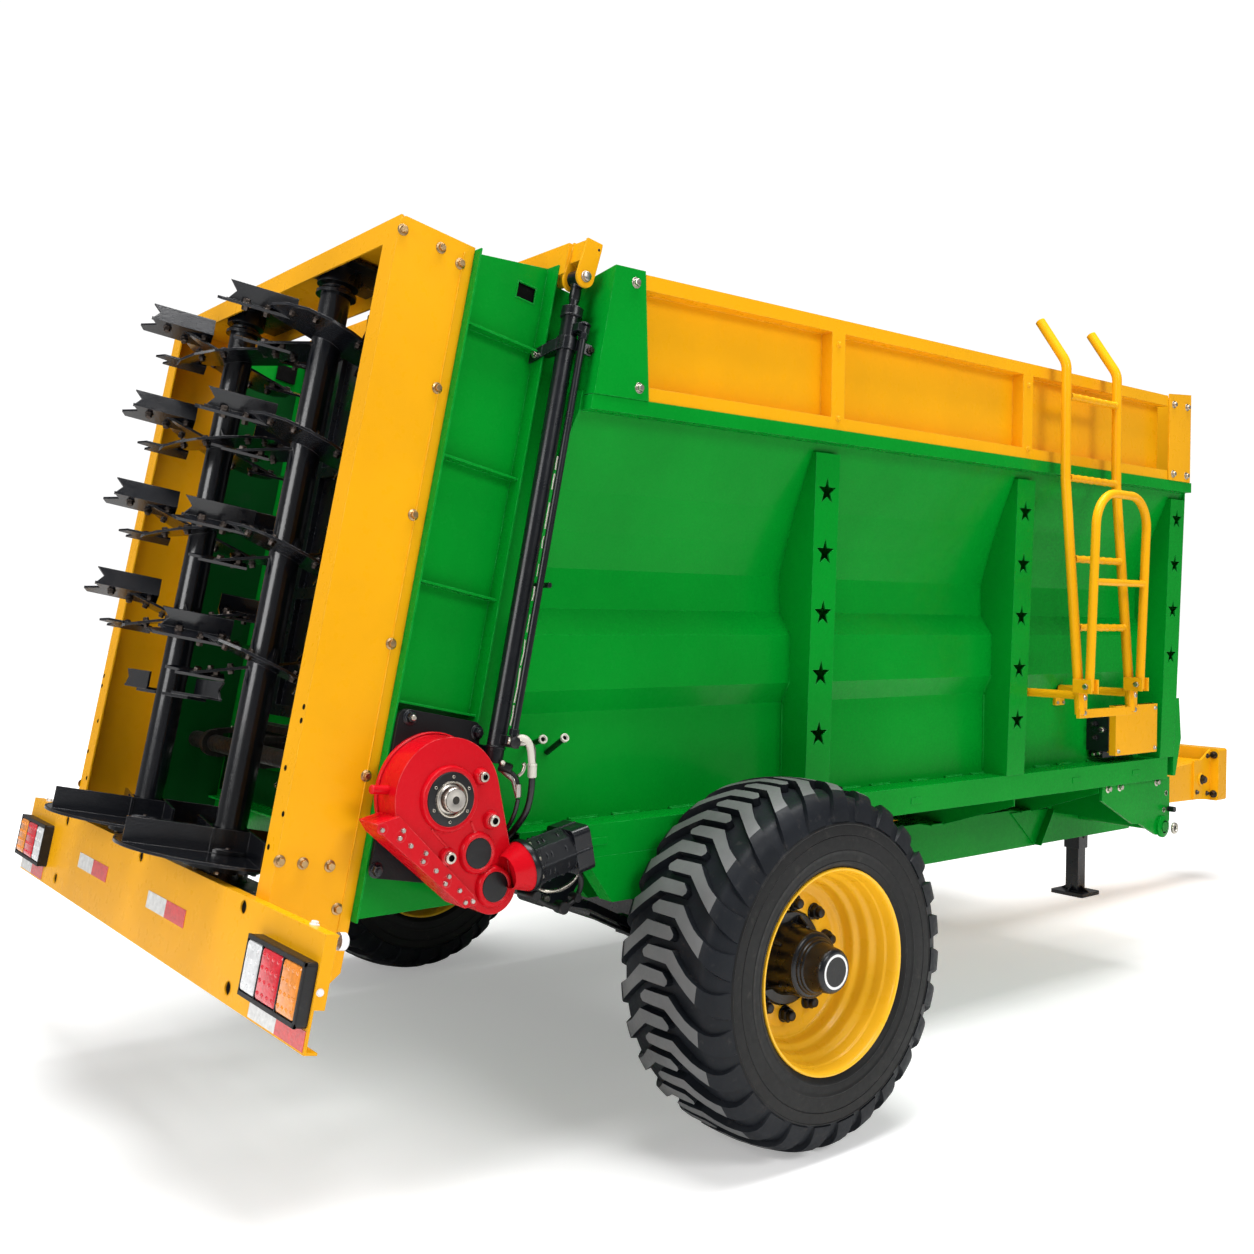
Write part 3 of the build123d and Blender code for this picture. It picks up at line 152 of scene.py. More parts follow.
def rounded(nt, radius):
    """Softened edges: the bevelled normal, and a mask that is 1 along the edges."""
    bev = add(nt, "ShaderNodeBevel")
    bev.samples = 4
    bev.inputs["Radius"].default_value = radius
    geo = add(nt, "ShaderNodeNewGeometry")
    dot = add(nt, "ShaderNodeVectorMath", operation="DOT_PRODUCT")
    nt.links.new(bev.outputs["Normal"], dot.inputs[0])
    nt.links.new(geo.outputs["Normal"], dot.inputs[1])
    edge = ramp(nt, dot.outputs["Value"], [(0.80, (1, 1, 1)), (0.985, (0, 0, 0))])
    return bev.outputs["Normal"], edge.outputs["Color"]


def bump(nt, bsdf, src, strength, dist, normal=None):
    b = add(nt, "ShaderNodeBump")
    b.inputs["Strength"].default_value = strength
    b.inputs["Distance"].default_value = dist
    nt.links.new(src, b.inputs["Height"])
    if normal is not None:
        nt.links.new(normal, b.inputs["Normal"])
    nt.links.new(b.outputs["Normal"], bsdf.inputs["Normal"])
    return b


def paint(name, color, rough=0.32, vary=0.10, peel=0.25, coat=0.2, dirt=0.0, edge=None, soft=0.0025, spec=0.3,
          dirt_color=None):
    m, nt, b = new_mat(name)
    lo = tuple(c * (1 - vary) for c in color)
    hi = tuple(min(1, c * (1 + vary * 0.7)) for c in color)
    n1 = noise(nt, 2.2, 5)
    src = ramp(nt, n1.outputs["Fac"], [(0.32, lo), (0.68, hi)]).outputs["Color"]
    if dirt > 0:
        n3 = noise(nt, 9, 8, 0.7)
        r3 = ramp(nt, n3.outputs["Fac"], [(0.55, (0, 0, 0)), (0.76, (1, 1, 1))])
        fac = math_node(nt, "MULTIPLY", r3.outputs["Color"], dirt)
        src = mix(nt, fac, src, dirt_color or tuple(c * 0.35 + 0.03 for c in color))
    normal, rim = rounded(nt, soft)
    # painted highlight: along the edges the colour is mixed toward the lighter edge tint, broken up by noise
    if edge:
        n5 = noise(nt, 38, 4, 0.6)
        edge_highlight_breakup = ramp(nt, n5.outputs["Fac"], [(0.40, (0.15, 0.15, 0.15)), (0.62, (1, 1, 1))])
        fac = math_node(nt, "MULTIPLY", rim, edge_highlight_breakup.outputs["Color"])
        fac = math_node(nt, "MULTIPLY", fac, 0.75)
        src = mix(nt, fac, src, edge)
    nt.links.new(src, b.inputs["Base Color"])
    n2 = noise(nt, 26, 3)
    rr = ramp(nt, n2.outputs["Fac"], [(0.3, (rough * 0.82,) * 3), (0.7, (rough * 1.2,) * 3)])
    nt.links.new(rr.outputs["Color"], b.inputs["Roughness"])
    n4 = noise(nt, 160, 2)
    bump(nt, b, n4.outputs["Fac"], peel, 0.0006, normal)
    b.inputs["Specular IOR Level"].default_value = spec
    b.inputs["Coat Weight"].default_value = coat
    b.inputs["Coat Roughness"].default_value = 0.10
    return m


def metal(name, color, rough=0.35, scratch=0.3, brushed=None, rust=0.0):
    m, nt, b = new_mat(name)
    n1 = noise(nt, 14, 6, stretch=brushed)
    src = ramp(nt, n1.outputs["Fac"], [(0.3, tuple(c * 0.72 for c in color)), (0.7, color)]).outputs["Color"]
    if rust > 0:
        n3 = noise(nt, 22, 7, 0.65)
        r3 = ramp(nt, n3.outputs["Fac"], [(0.52, (0, 0, 0)), (0.70, (1, 1, 1))])
        src = mix(nt, math_node(nt, "MULTIPLY", r3.outputs["Color"], rust), src, (0.16, 0.075, 0.035))
    nt.links.new(src, b.inputs["Base Color"])
    b.inputs["Metallic"].default_value = 1.0
    n2 = noise(nt, 60, 6, stretch=brushed)
    rr = ramp(nt, n2.outputs["Fac"], [(0.3, (rough * 0.7,) * 3), (0.75, (min(1, rough * 1.5),) * 3)])
    nt.links.new(rr.outputs["Color"], b.inputs["Roughness"])
    normal, _ = rounded(nt, 0.0015)
    bump(nt, b, n2.outputs["Fac"], scratch, 0.0005, normal)
    return m


def rubber(name, color=(0.032, 0.033, 0.036), rough=0.62, scale=70, spec=0.4, bumpy=0.35):
    m, nt, b = new_mat(name)
    n1 = noise(nt, 5, 6)
    r = ramp(nt, n1.outputs["Fac"], [(0.3, tuple(c * 0.78 for c in color)), (0.75, tuple(c * 1.35 for c in color))])
    n3 = noise(nt, 30, 8, 0.7)
    dust = ramp(nt, n3.outputs["Fac"], [(0.58, (0, 0, 0)), (0.80, (0.35, 0.35, 0.35))])
    src = mix(nt, dust.outputs["Color"], r.outputs["Color"], (0.10, 0.09, 0.08))
    nt.links.new(src, b.inputs["Base Color"])
    n2 = noise(nt, scale, 6)
    rr = ramp(nt, n2.outputs["Fac"], [(0.3, (rough * 0.85,) * 3), (0.7, (min(1, rough * 1.2),) * 3)])
    nt.links.new(rr.outputs["Color"], b.inputs["Roughness"])
    b.inputs["Specular IOR Level"].default_value = spec
    bump(nt, b, n2.outputs["Fac"], bumpy, 0.001)
    return m


def lens(name, color, glow=0.0):
    """Ribbed clear lens over rows of diodes."""
    m, nt, b = new_mat(name)
    n1 = noise(nt, 60, 3)
    r = ramp(nt, n1.outputs["Fac"], [(0.3, tuple(c * 0.72 for c in color)), (0.7, color)])
    nt.links.new(r.outputs["Color"], b.inputs["Base Color"])
    v = add(nt, "ShaderNodeTexVoronoi")
    v.inputs["Scale"].default_value = 130
    tc = add(nt, "ShaderNodeTexCoord")
    nt.links.new(tc.outputs["Object"], v.inputs["Vector"])
    bump(nt, b, v.outputs["Distance"], 0.35, 0.001)
    rr = ramp(nt, n1.outputs["Fac"], [(0.3, (0.10, 0.10, 0.10)), (0.7, (0.20, 0.20, 0.20))])
    nt.links.new(rr.outputs["Color"], b.inputs["Roughness"])
    b.inputs["Coat Weight"].default_value = 0.6
    return m


# edge= sets the lighter tint of the painted highlight along each material's edges
GREEN = paint("green_gloss", (0.0006, 0.262, 0.019), 0.27, 0.10, coat=0.03, spec=0.06, edge=(0.06, 0.60, 0.16))
# darker copy of the green paint for inner faces: painted shade, with dirt
GREEN_IN_SHADE = paint("green_inside_painted_shade", (0.002, 0.17, 0.018), 0.45, 0.14, coat=0.03, spec=0.1, dirt=0.25)
YELLOW = paint("yellow_gloss", (0.83, 0.385, 0.005), 0.30, 0.07, coat=0.04, spec=0.10, edge=(1.0, 0.66, 0.12))
RIM_YELLOW = paint("rim_yellow", (0.92, 0.50, 0.020), 0.30, 0.08, coat=0.15, spec=0.2, edge=(1.0, 0.68, 0.14),
                   soft=0.001)
RED = paint("red_gloss", (0.57, 0.003, 0.010), 0.27, 0.08, coat=0.07, spec=0.09, edge=(1.0, 0.25, 0.25), soft=0.004)
BLACK = paint("black_satin", (0.0045, 0.0055, 0.008), 0.30, 0.30, peel=0.5, coat=0.16, spec=0.30,
              edge=(0.10, 0.11, 0.13))
BLACK_PLATE = paint("black_plate", (0.005, 0.006, 0.007), 0.50, 0.35, peel=0.8, coat=0.03, spec=0.18,
                    edge=(0.07, 0.07, 0.07))
BEATER = paint("beater_black", (0.005, 0.006, 0.009), 0.22, 0.35, peel=0.7, coat=0.35, spec=0.4, dirt=0.20,
               dirt_color=(0.045, 0.022, 0.015), edge=(0.18, 0.17, 0.17))
STEEL = metal("bare_steel", (0.50, 0.47, 0.43), 0.34)
ZINC = metal("zinc", (0.62, 0.58, 0.50), 0.30)
GOLD = metal("passivated_bolt", (0.50, 0.33, 0.16), 0.34, 0.4)
DARK = metal("dark_bolt", (0.085, 0.070, 0.062), 0.36, 0.4)
CHROME = metal("chrome_rod", (0.80, 0.80, 0.82), 0.12, 0.05)
WORN = metal("worn_steel", (0.055, 0.052, 0.048), 0.55, 0.6, rust=0.25)
# dark copy of the green paint for places in deep shade: painted shade
SHADE = paint("green_painted_shade", (0.0005, 0.050, 0.007), 0.5, 0.16, coat=0.01, spec=0.06, dirt=0.25)
TYRE = rubber("tyre_groove", (0.0065, 0.008, 0.011), 0.50, 60, spec=0.18)
# the lighter grey of the tread tops is a painted sheen of the light from above
TYRE_TOP_SHEEN = rubber("tyre_tread_painted_sheen", (0.104, 0.106, 0.108), 0.50, 90, spec=0.35, bumpy=0.25)
TYRE_WALL = rubber("tyre_wall", (0.0088, 0.0088, 0.0090), 0.46, 55, spec=0.18)
HOSE = rubber("hose_rubber", (0.010, 0.010, 0.012), 0.36, 160, spec=0.5)
PLASTIC = rubber("black_plastic", (0.006, 0.006, 0.007), 0.40, 120, spec=0.35)
# flat dark discs and patches stand in for the shade inside holes and openings: painted shade
HOLE_SHADE = rubber("hole_painted_shade", (0.002, 0.002, 0.002), 0.9, 40, spec=0.1)
# cream paint for the pipes; also the painted light dashed along the cylinders' gaps
CREAM = paint("cream_pipe_and_painted_light", (0.62, 0.60, 0.52), 0.35, 0.1, coat=0.2, soft=0.001)
# white paint for caps, buffers and the hub's ring; also a painted glint on some screw heads
WHITE = paint("white_cap_and_painted_glint", (0.80, 0.80, 0.80), 0.30, 0.05, coat=0.3, soft=0.001)
BRASS = metal("copper_fitting", (0.62, 0.34, 0.16), 0.30, 0.2)
LENS_WHITE = lens("lens_white", (0.80, 0.81, 0.82))
LENS_RED = lens("lens_red", (0.74, 0.018, 0.035))
LENS_AMBER = lens("lens_amber", (0.92, 0.30, 0.03))
TAPE_RED = lens("tape_red", (0.75, 0.03, 0.03))
TAPE_WHITE = lens("tape_white", (0.82, 0.82, 0.80))


def dress(node, *mats):
    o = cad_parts[node]
    if not o.material_slots:
        o.data.materials.append(mats[0])
    for i, sl in enumerate(o.material_slots):
        sl.material = mats[min(i, len(mats) - 1)]


for names, m in [
    (("chassis_rails", "cross_members", "side_brackets", "sills", "hopper_sides", "side_posts", "top_rails",
      "corner_covers", "front_panel", "rear_side_panels", "front_brackets"), GREEN),
    (("side_extensions", "front_extension", "rear_frame", "bumper", "drawbar", "hitch_head", "ladder_upper",
      "ladder_lower", "control_box", "door_crossbeam"), YELLOW),
    (("rim_right", "rim_left"), RIM_YELLOW),
    (("leaf_springs", "spring_carriers", "axle_beam", "beater_drive", "floor_drive_motor", "lift_cylinders",
      "jack_tube", "jack_leg", "pto_bearing", "valve_block", "hub_right", "hub_left"), BLACK),
    # the slurry door's black paint stands in for the deep shade behind the beaters: painted shade
    (("gearbox_plate",), BLACK_PLATE), (("slurry_door",), BLACK), (("beater_right", "beater_left"), BEATER),
    (("floor_drive_gearbox",), RED), (("hopper_floor", "floor_conveyor"), WORN),
    (("cylinder_rods",), CHROME), (("pto_shaft",), STEEL), (("hose_fittings",), STEEL),
    (("tyre_right", "tyre_left"), TYRE), (("tail_lights",), PLASTIC),
    (("hose_right_1", "hose_right_2", "hose_left_1", "hose_left_2"), HOSE),
]:
    for n in names:
        dress(n, m)


# ---------------------------------------------------------------- cords
HOSE_1 = [(-0.840, 0.957, 1.112), (-0.842, 0.957, 1.038), (-0.858, 0.905, 0.965), (-0.866, 0.845, 0.915), (-0.890, 0.813, 0.852)]
HOSE_2 = [(-0.884, 0.955, 1.058), (-0.886, 0.945, 1.010), (-0.890, 0.885, 0.945), (-0.898, 0.835, 0.900), (-0.922, 0.812, 0.852)]


def hose(name, node, side, pts, diameter):
    cu = bpy.data.curves.new(name, "CURVE")
    cu.dimensions = "3D"
    sp = cu.splines.new("NURBS")
    sp.points.add(len(pts) - 1)
    for p, (x, y, z) in zip(sp.points, pts):
        p.co = (*P(x, side * y, z), 1)
    sp.order_u = 3
    sp.use_endpoint_u = True
    cu.bevel_depth = diameter / 2
    cu.bevel_resolution = 5
    cu.resolution_u = 14
    cu.use_fill_caps = True
    cu.materials.append(HOSE)
    o = bpy.data.objects.new(name, cu)
    scene.collection.objects.link(o)
    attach(o, "spreader")
    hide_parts(node)
    return o


for word, side in (("right", -1), ("left", 1)):
    hose(f"oil_hose_{word}_1", f"hose_{word}_1", side, HOSE_1, 0.018)
    hose(f"oil_hose_{word}_2", f"hose_{word}_2", side, HOSE_2, 0.012)


# ---------------------------------------------------------------- mesh helper
def square(n):
    """Two directions square to n, and n itself."""
    n = Vector(n).normalized()
    a = Vector((0, 0, 1)) if abs(n.z) < 0.9 else Vector((1, 0, 0))
    u = a.cross(n).normalized()
    return u, n.cross(u).normalized(), n


class Piece:
    """One object's mesh, with a material number for every face."""

    def __init__(self, name, *mats):
        self.name, self.mats, self.bm = name, mats, bmesh.new()

    def rows(self, rows, closed=True, mat=0, caps=(False, False), loop=False):
        vs = [[self.bm.verts.new(p) for p in row] for row in rows]
        n = len(rows[0])
        pairs = list(zip(vs, vs[1:])) + ([(vs[-1], vs[0])] if loop else [])
        for k, (a, b) in enumerate(pairs):
            m = mat[k] if isinstance(mat, (list, tuple)) else mat
            for i in range(n if closed else n - 1):
                j = (i + 1) % n
                self.bm.faces.new((a[i], a[j], b[j], b[i])).material_index = m
        for flag, row, m in zip(caps, (vs[0], vs[-1]), (0, -1)):
            if flag:
                f = self.bm.faces.new(row)
                f.material_index = mat[m] if isinstance(mat, (list, tuple)) else mat
        return vs

    def lathe(self, centre, axis, profile, mat=0, seg=40, loop=False, caps=(False, False), phase=0.0, start=None):
        u, v, n = square(axis)
        if start is not None:
            u = Vector(start).normalized()
            v = n.cross(u)
        centre = Vector(centre)
        rows = [[centre + n * a + (u * math.cos(phase + 2 * math.pi * i / seg)
                                   + v * math.sin(phase + 2 * math.pi * i / seg)) * r for i in range(seg)]
                for a, r in profile]
        return self.rows(rows, True, mat, caps, loop)

    def bolt(self, p, n, af=0.019, h=0.009, mat=0, washer=0.0, turn=0.0):
        """Hexagon head with a turned top, on a washer."""
        w = 0.0
        if washer:
            self.lathe(p, n, [(-0.001, washer), (0.0018, washer), (0.0024, washer * 0.95)], mat, 20, caps=(False, True))
            w = 0.0024
        r = af / math.sqrt(3)
        self.lathe(p, n, [(w - 0.001, r), (w + h * 0.72, r), (w + h, r * 0.84)], mat, 6, caps=(False, True), phase=turn)

    def socket(self, p, n, r, h, mat=0, dark=1, seg=24):
        """Cap screw: round head with a six-sided recess."""
        self.lathe(p, n, [(-0.002, r), (h * 0.86, r), (h, r * 0.9), (h, r * 0.58)], mat, seg)
        self.lathe(p, n, [(h, r * 0.58), (h - min(0.006, h * 0.6), r * 0.55)], dark, 6, caps=(False, True))

    def stud(self, p, n, r, h, mat=0, seg=20, chamfer=0.15, base=-0.002):
        c = r * chamfer
        self.lathe(p, n, [(base, r), (h - c, r), (h, r - c)], mat, seg, caps=(False, True))

    def tube(self, pts, r, mat=0, seg=12, caps=True):
        pts = [Vector(p) for p in pts]
        rows, u = [], None
        for i, p in enumerate(pts):
            d = (pts[min(i + 1, len(pts) - 1)] - pts[max(i - 1, 0)]).normalized()
            u = square(d)[0] if u is None else (u - d * u.dot(d)).normalized()
            v = d.cross(u)
            rr = r[i] if isinstance(r, (list, tuple)) else r
            rows.append([p + (u * math.cos(2 * math.pi * k / seg) + v * math.sin(2 * math.pi * k / seg)) * rr
                         for k in range(seg)])
        self.rows(rows, True, mat, (caps, caps))

    def box(self, c, ax, ay, az, size, mat=0):
        """Box about c, with its edges along the three directions."""
        c = Vector(c)
        ax, ay, az = (Vector(a).normalized() * s / 2 for a, s in zip((ax, ay, az), size))
        self.rows([[c + sx * ax + sy * ay + k * az for sx, sy in ((-1, -1), (1, -1), (1, 1), (-1, 1))]
                   for k in (-1, 1)], True, mat, (True, True))

    def plate(self, loop, n, thick, mat=0):
        n = Vector(n).normalized() * thick
        self.rows([[Vector(p) for p in loop], [Vector(p) + n for p in loop]], True, mat, (True, True))

    def done(self, body, slot, replaces=(), bevel=0.0, segs=2, smooth=35, angle=30):
        bmesh.ops.recalc_face_normals(self.bm, faces=self.bm.faces[:])
        limit = math.radians(smooth)
        for e in self.bm.edges:
            e.smooth = len(e.link_faces) == 2 and e.calc_face_angle(3.2) < limit
        for f in self.bm.faces:
            f.smooth = True
        me = bpy.data.meshes.new(self.name)
        self.bm.to_mesh(me)
        self.bm.free()
        for m in self.mats:
            me.materials.append(m)
        o = bpy.data.objects.new(self.name, me)
        scene.collection.objects.link(o)
        if bevel:
            b = o.modifiers.new("edges", "BEVEL")
            b.width, b.segments, b.limit_method, b.angle_limit = bevel, segs, "ANGLE", math.radians(angle)
        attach(o, body)
        if replaces:
            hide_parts(*replaces)
        return o


def spline(pts, n=10):
    """Catmull-Rom points through pts."""
    pts = [np.array(p, float) for p in pts]
    out = []
    for i in range(len(pts) - 1):
        p0 = pts[i - 1] if i else 2 * pts[0] - pts[1]
        p3 = pts[i + 2] if i + 2 < len(pts) else 2 * pts[-1] - pts[-2]
        p1, p2 = pts[i], pts[i + 1]
        for k in range(n):
            t = k / n
            out.append(0.5 * (2 * p1 + (p2 - p0) * t + (2 * p0 - 5 * p1 + 4 * p2 - p3) * t * t
                              + (3 * p1 - p0 - 3 * p2 + p3) * t ** 3))
    out.append(pts[-1])
    return out


# ---------------------------------------------------------------- wheels
# half of the tyre's outline: offset outward from the wheel centre, radius
HALF = [(-0.080, 0.531), (0.0, 0.535), (0.080, 0.531), (0.140, 0.520), (0.168, 0.506), (0.186, 0.480),
        (0.196, 0.435), (0.198, 0.385), (0.196, 0.335), (0.190, 0.303), (0.180, 0.3005), (0.176, 0.290)]
curve = np.array(spline(HALF, 12)[12:])
curve[:, 0] = np.clip(curve[:, 0], 0, 0.198)
curve[:, 1] = np.minimum(curve[:, 1], 0.535)
arc = np.concatenate([[0], np.cumsum(np.hypot(*np.diff(curve, axis=0).T))])
P_END = float(arc[-1])


def outline(p, inward=0.0):
    """Offset and radius at arc length p from the middle, moved inward."""
    q, sg = abs(p), (1 if p >= 0 else -1)
    w, r = np.interp(q, arc, curve[:, 0]), np.interp(q, arc, curve[:, 1])
    w2, r2 = np.interp(min(q + 0.004, P_END), arc, curve[:, 0]), np.interp(min(q + 0.004, P_END), arc, curve[:, 1])
    w1, r1 = np.interp(max(q - 0.004, 0), arc, curve[:, 0]), np.interp(max(q - 0.004, 0), arc, curve[:, 1])
    dw, dr = w2 - w1, r2 - r1
    n = math.hypot(dw, dr)
    return sg * (w + dr / n * inward), r - dw / n * inward


DEPTH = [(0, 0.025), (0.095, 0.025), (0.120, 0.022), (0.155, 0.017), (0.190, 0.0145), (0.222, 0.0095), (0.250, 0.0040),
         (0.262, 0.0012), (P_END, 0.0012)]
# bar outline: upper edge and lower edge as (arc length, degrees round the wheel)
BAR = [((-0.0530, 0.00), (-0.0535, 0.95)), ((-0.0340, -1.90), (-0.0450, 2.00)), ((0.012, -2.00), (0.000, 2.05)),
       ((0.060, -2.10), (0.044, 2.10)), ((0.087, 0.85), (0.070, 4.40)), ((0.1146, 3.60), (0.097, 6.80)),
       ((0.134, 5.00), (0.122, 9.10)), ((0.152, 6.10), (0.147, 11.3)), ((0.172, 7.20), (0.167, 12.9)),
       ((0.191, 7.95), (0.187, 14.4)), ((0.207, 8.25), (0.206, 15.4)), ((0.222, 8.32), (0.222, 16.2)),
       ((0.237, 8.28), (0.237, 16.8)), ((0.252, 8.12), (0.252, 17.2))]
BARS = 27


def wheel_point(side, w, r, deg):
    a = math.radians(deg)
    return P(-r * math.sin(a), side * (WHEEL_Y + w), TYRE_R + r * math.cos(a))


def tyre(word, side):
    t = Piece(f"tyre_detail_{word}", TYRE, TYRE_TOP_SHEEN, TYRE_WALL)
    stations = sorted({round(x, 4) for x in list(np.arange(0, 0.26, 0.0125))
                       + [0.256, 0.259, 0.2605, 0.263, 0.266, 0.275, 0.286, 0.2905, 0.2925, 0.2945, 0.297, 0.305, 0.315,
                          0.325, 0.3345, 0.3365, 0.3395, 0.342, 0.350, 0.358, 0.3665, 0.3685, 0.3725, 0.376, P_END]
                       if x <= P_END})
    ridge = {0.259: 0.0, 0.2605: -0.0006, 0.2925: 0.0026, 0.3365: 0.0, 0.3395: 0.0, 0.3685: 0.0, 0.3725: 0.0}
    ps = [-x for x in reversed(stations[1:])] + stations
    rows, mats = [], []
    for p in ps:
        q = abs(p)
        d = ridge.get(round(q, 4), float(np.interp(q, [a for a, _ in DEPTH], [b for _, b in DEPTH])))
        w, r = outline(p, d)
        w = max(-0.1979, min(0.1979, w))
        rows.append([wheel_point(side, w, r, 360 * k / 216) for k in range(216)])
        mats.append(2 if q > 0.2565 else 0)
    t.rows(rows, True, mats[1:] + [0], loop=True)
    for hand in (1, -1):
        for k in range(BARS):
            base = 360 / BARS * (k + (0 if hand > 0 else 0.5))
            tops, mts = [], []
            for i, (up, low) in enumerate(BAR):
                row = []
                for c, (f, inward) in enumerate([(-0.06, 1), (0, 0), (0.33, 0), (0.67, 0), (1, 0), (1.06, 1)]):
                    p = up[0] + (low[0] - up[0]) * min(1, max(0, f))
                    deg = up[1] + (low[1] - up[1]) * f
                    q = abs(p)
                    deep = float(np.interp(q, [a for a, _ in DEPTH], [b for _, b in DEPTH])) + 0.002
                    w, r = outline(hand * p, deep if inward else 0.0)
                    row.append(wheel_point(side, w, r, base + deg))
                tops.append(row)
                mts.append(1 if i < 7 else 0)
            vs = t.rows(tops, False, mts[:-1])
            # only the top gets the lighter rubber, a painted sheen of the light from above
            for row_a, row_b in zip(vs, vs[1:]):
                for c in (0, 4):
                    for f in row_a[c].link_faces:
                        if row_b[c] in f.verts and row_a[c + 1] in f.verts:
                            f.material_index = 0
            for row in (vs[0], vs[-1]):
                t.bm.faces.new(row).material_index = 0
    return t.done(f"wheel_{word}", "tyre_rubber", (f"tyre_{word}",), smooth=28)


RIM_FACE = [(0.181, 0.2985), (0.185, 0.2985), (0.1872, 0.2975), (0.1880, 0.2955), (0.1878, 0.2925), (0.1855, 0.2898),
            (0.181, 0.2872), (0.174, 0.2852), (0.164, 0.2838), (0.150, 0.2826), (0.146, 0.2814), (0.1435, 0.2790),
            (0.140, 0.2776), (0.118, 0.2762), (0.112, 0.2748), (0.106, 0.2700), (0.100, 0.2640), (0.095, 0.2612),
            (0.088, 0.2602), (0.070, 0.2592), (0.064, 0.2570), (0.0605, 0.2530), (0.057, 0.2450), (0.053, 0.2412),
            (0.046, 0.2398), (0.030, 0.2390), (0.022, 0.2376), (0.016, 0.2330), (0.0125, 0.2260), (0.010, 0.2160),
            (0.0085, 0.2055), (0.0070, 0.2030), (0.0066, 0.2000), (0.0070, 0.1960), (0.0072, 0.1500), (0.0068, 0.1420),
            (0.0050, 0.1405)]
RIM_BACK = [(-0.010, 0.1405), (-0.012, 0.1420), (-0.012, 0.200), (-0.010, 0.215), (-0.004, 0.2365), (-0.010, 0.2420),
            (-0.040, 0.2440), (-0.085, 0.2530), (-0.100, 0.2590), (-0.122, 0.2765), (-0.150, 0.2800), (-0.172, 0.2840),
            (-0.181, 0.2872), (-0.1855, 0.2898), (-0.1878, 0.2925), (-0.1880, 0.2955), (-0.1872, 0.2975),
            (-0.185, 0.2985), (-0.181, 0.2985), (-0.177, 0.2895), (0.177, 0.2895)]


def rim(word, side):
    centre = P(0, side * WHEEL_Y, TYRE_R)
    out = Vector((0, side, 0))
    t = Piece(f"rim_detail_{word}", RIM_YELLOW, BLACK, HOLE_SHADE)
    t.lathe(centre, out, RIM_FACE + RIM_BACK, 0, 96, loop=True, start=(0, 0, 1))
    # weld bead where the disc meets the barrel
    t.lathe(centre, out, [(0.0135, 0.2290), (0.0165, 0.2310), (0.0175, 0.2335), (0.0160, 0.2350)], 0, 96, start=(0, 0, 1))
    # valve
    v = centre + Vector((math.cos(2.2), 0, math.sin(2.2))) * 0.268
    t.stud(v + out * 0.085, out, 0.0045, 0.050, 1, 10)
    t.done(f"wheel_{word}", "yellow_paint", (f"rim_{word}",), smooth=40)

    h = Piece(f"hub_detail_{word}", BLACK, WHITE, PLASTIC)
    for k in range(10):
        a = math.radians(95 - 36 * k)
        c = centre + Vector((-math.cos(a) * side * -1, 0, math.sin(a))) * 0.1655
        h.lathe(c, out, [(0.006, 0.0255), (0.010, 0.0255), (0.0115, 0.0245)], 0, 20, caps=(False, True))
        h.lathe(c, out, [(0.010, 0.0235), (0.0255, 0.0235), (0.0285, 0.0205)], 2, 6, caps=(False, True), phase=0.3 * k)
        h.lathe(c, out, [(0.026, 0.0160), (0.0375, 0.0155), (0.0415, 0.0135), (0.0430, 0.0100)], 2, 18, caps=(False, True))
    # ribs between the flange and the barrel
    for k in range(5):
        a = math.radians(180 - 72 * k)
        d = Vector((-math.cos(a) * side * -1, 0, math.sin(a)))
        e = d.cross(out) * 0.0045
        loop = [centre + out * w + d * r for w, r in ((0.0, 0.105), (0.0, 0.136), (0.006, 0.134), (0.052, 0.1045), (0.052, 0.095))]
        h.plate([q - e for q in loop], e, 0.009, 0)
    h.lathe(centre, out, [(0.0, 0.1385), (0.009, 0.1385), (0.012, 0.1355), (0.013, 0.108), (0.020, 0.1035)], 0, 72)
    h.lathe(centre, out, [(0.092, 0.0978), (0.101, 0.0976), (0.107, 0.0955), (0.1105, 0.0905), (0.1115, 0.0850),
                          (0.1165, 0.0838), (0.1190, 0.0815), (0.1205, 0.0790), (0.1255, 0.0782), (0.1280, 0.0760),
                          (0.1292, 0.0722), (0.1340, 0.0712), (0.1365, 0.0690), (0.1700, 0.0662), (0.1790, 0.0645),
                          (0.1845, 0.0605), (0.1868, 0.0560), (0.1872, 0.0540)], 0, 72)
    h.lathe(centre, out, [(0.1870, 0.0545), (0.1890, 0.0540), (0.1890, 0.0)][:2] + [(0.1890, 0.0505)], 0, 64)
    h.lathe(centre, out, [(0.1890, 0.0505), (0.1893, 0.0500), (0.1893, 0.0435), (0.1890, 0.0430)], 1, 64)
    h.lathe(centre, out, [(0.1890, 0.0430), (0.1886, 0.0200), (0.1886, 0.006)], 2, 64, caps=(False, True))
    h.done(f"wheel_{word}", "black_paint", smooth=40)


for word, side in (("right", -1), ("left", 1)):
    tyre(word, side)
    rim(word, side)


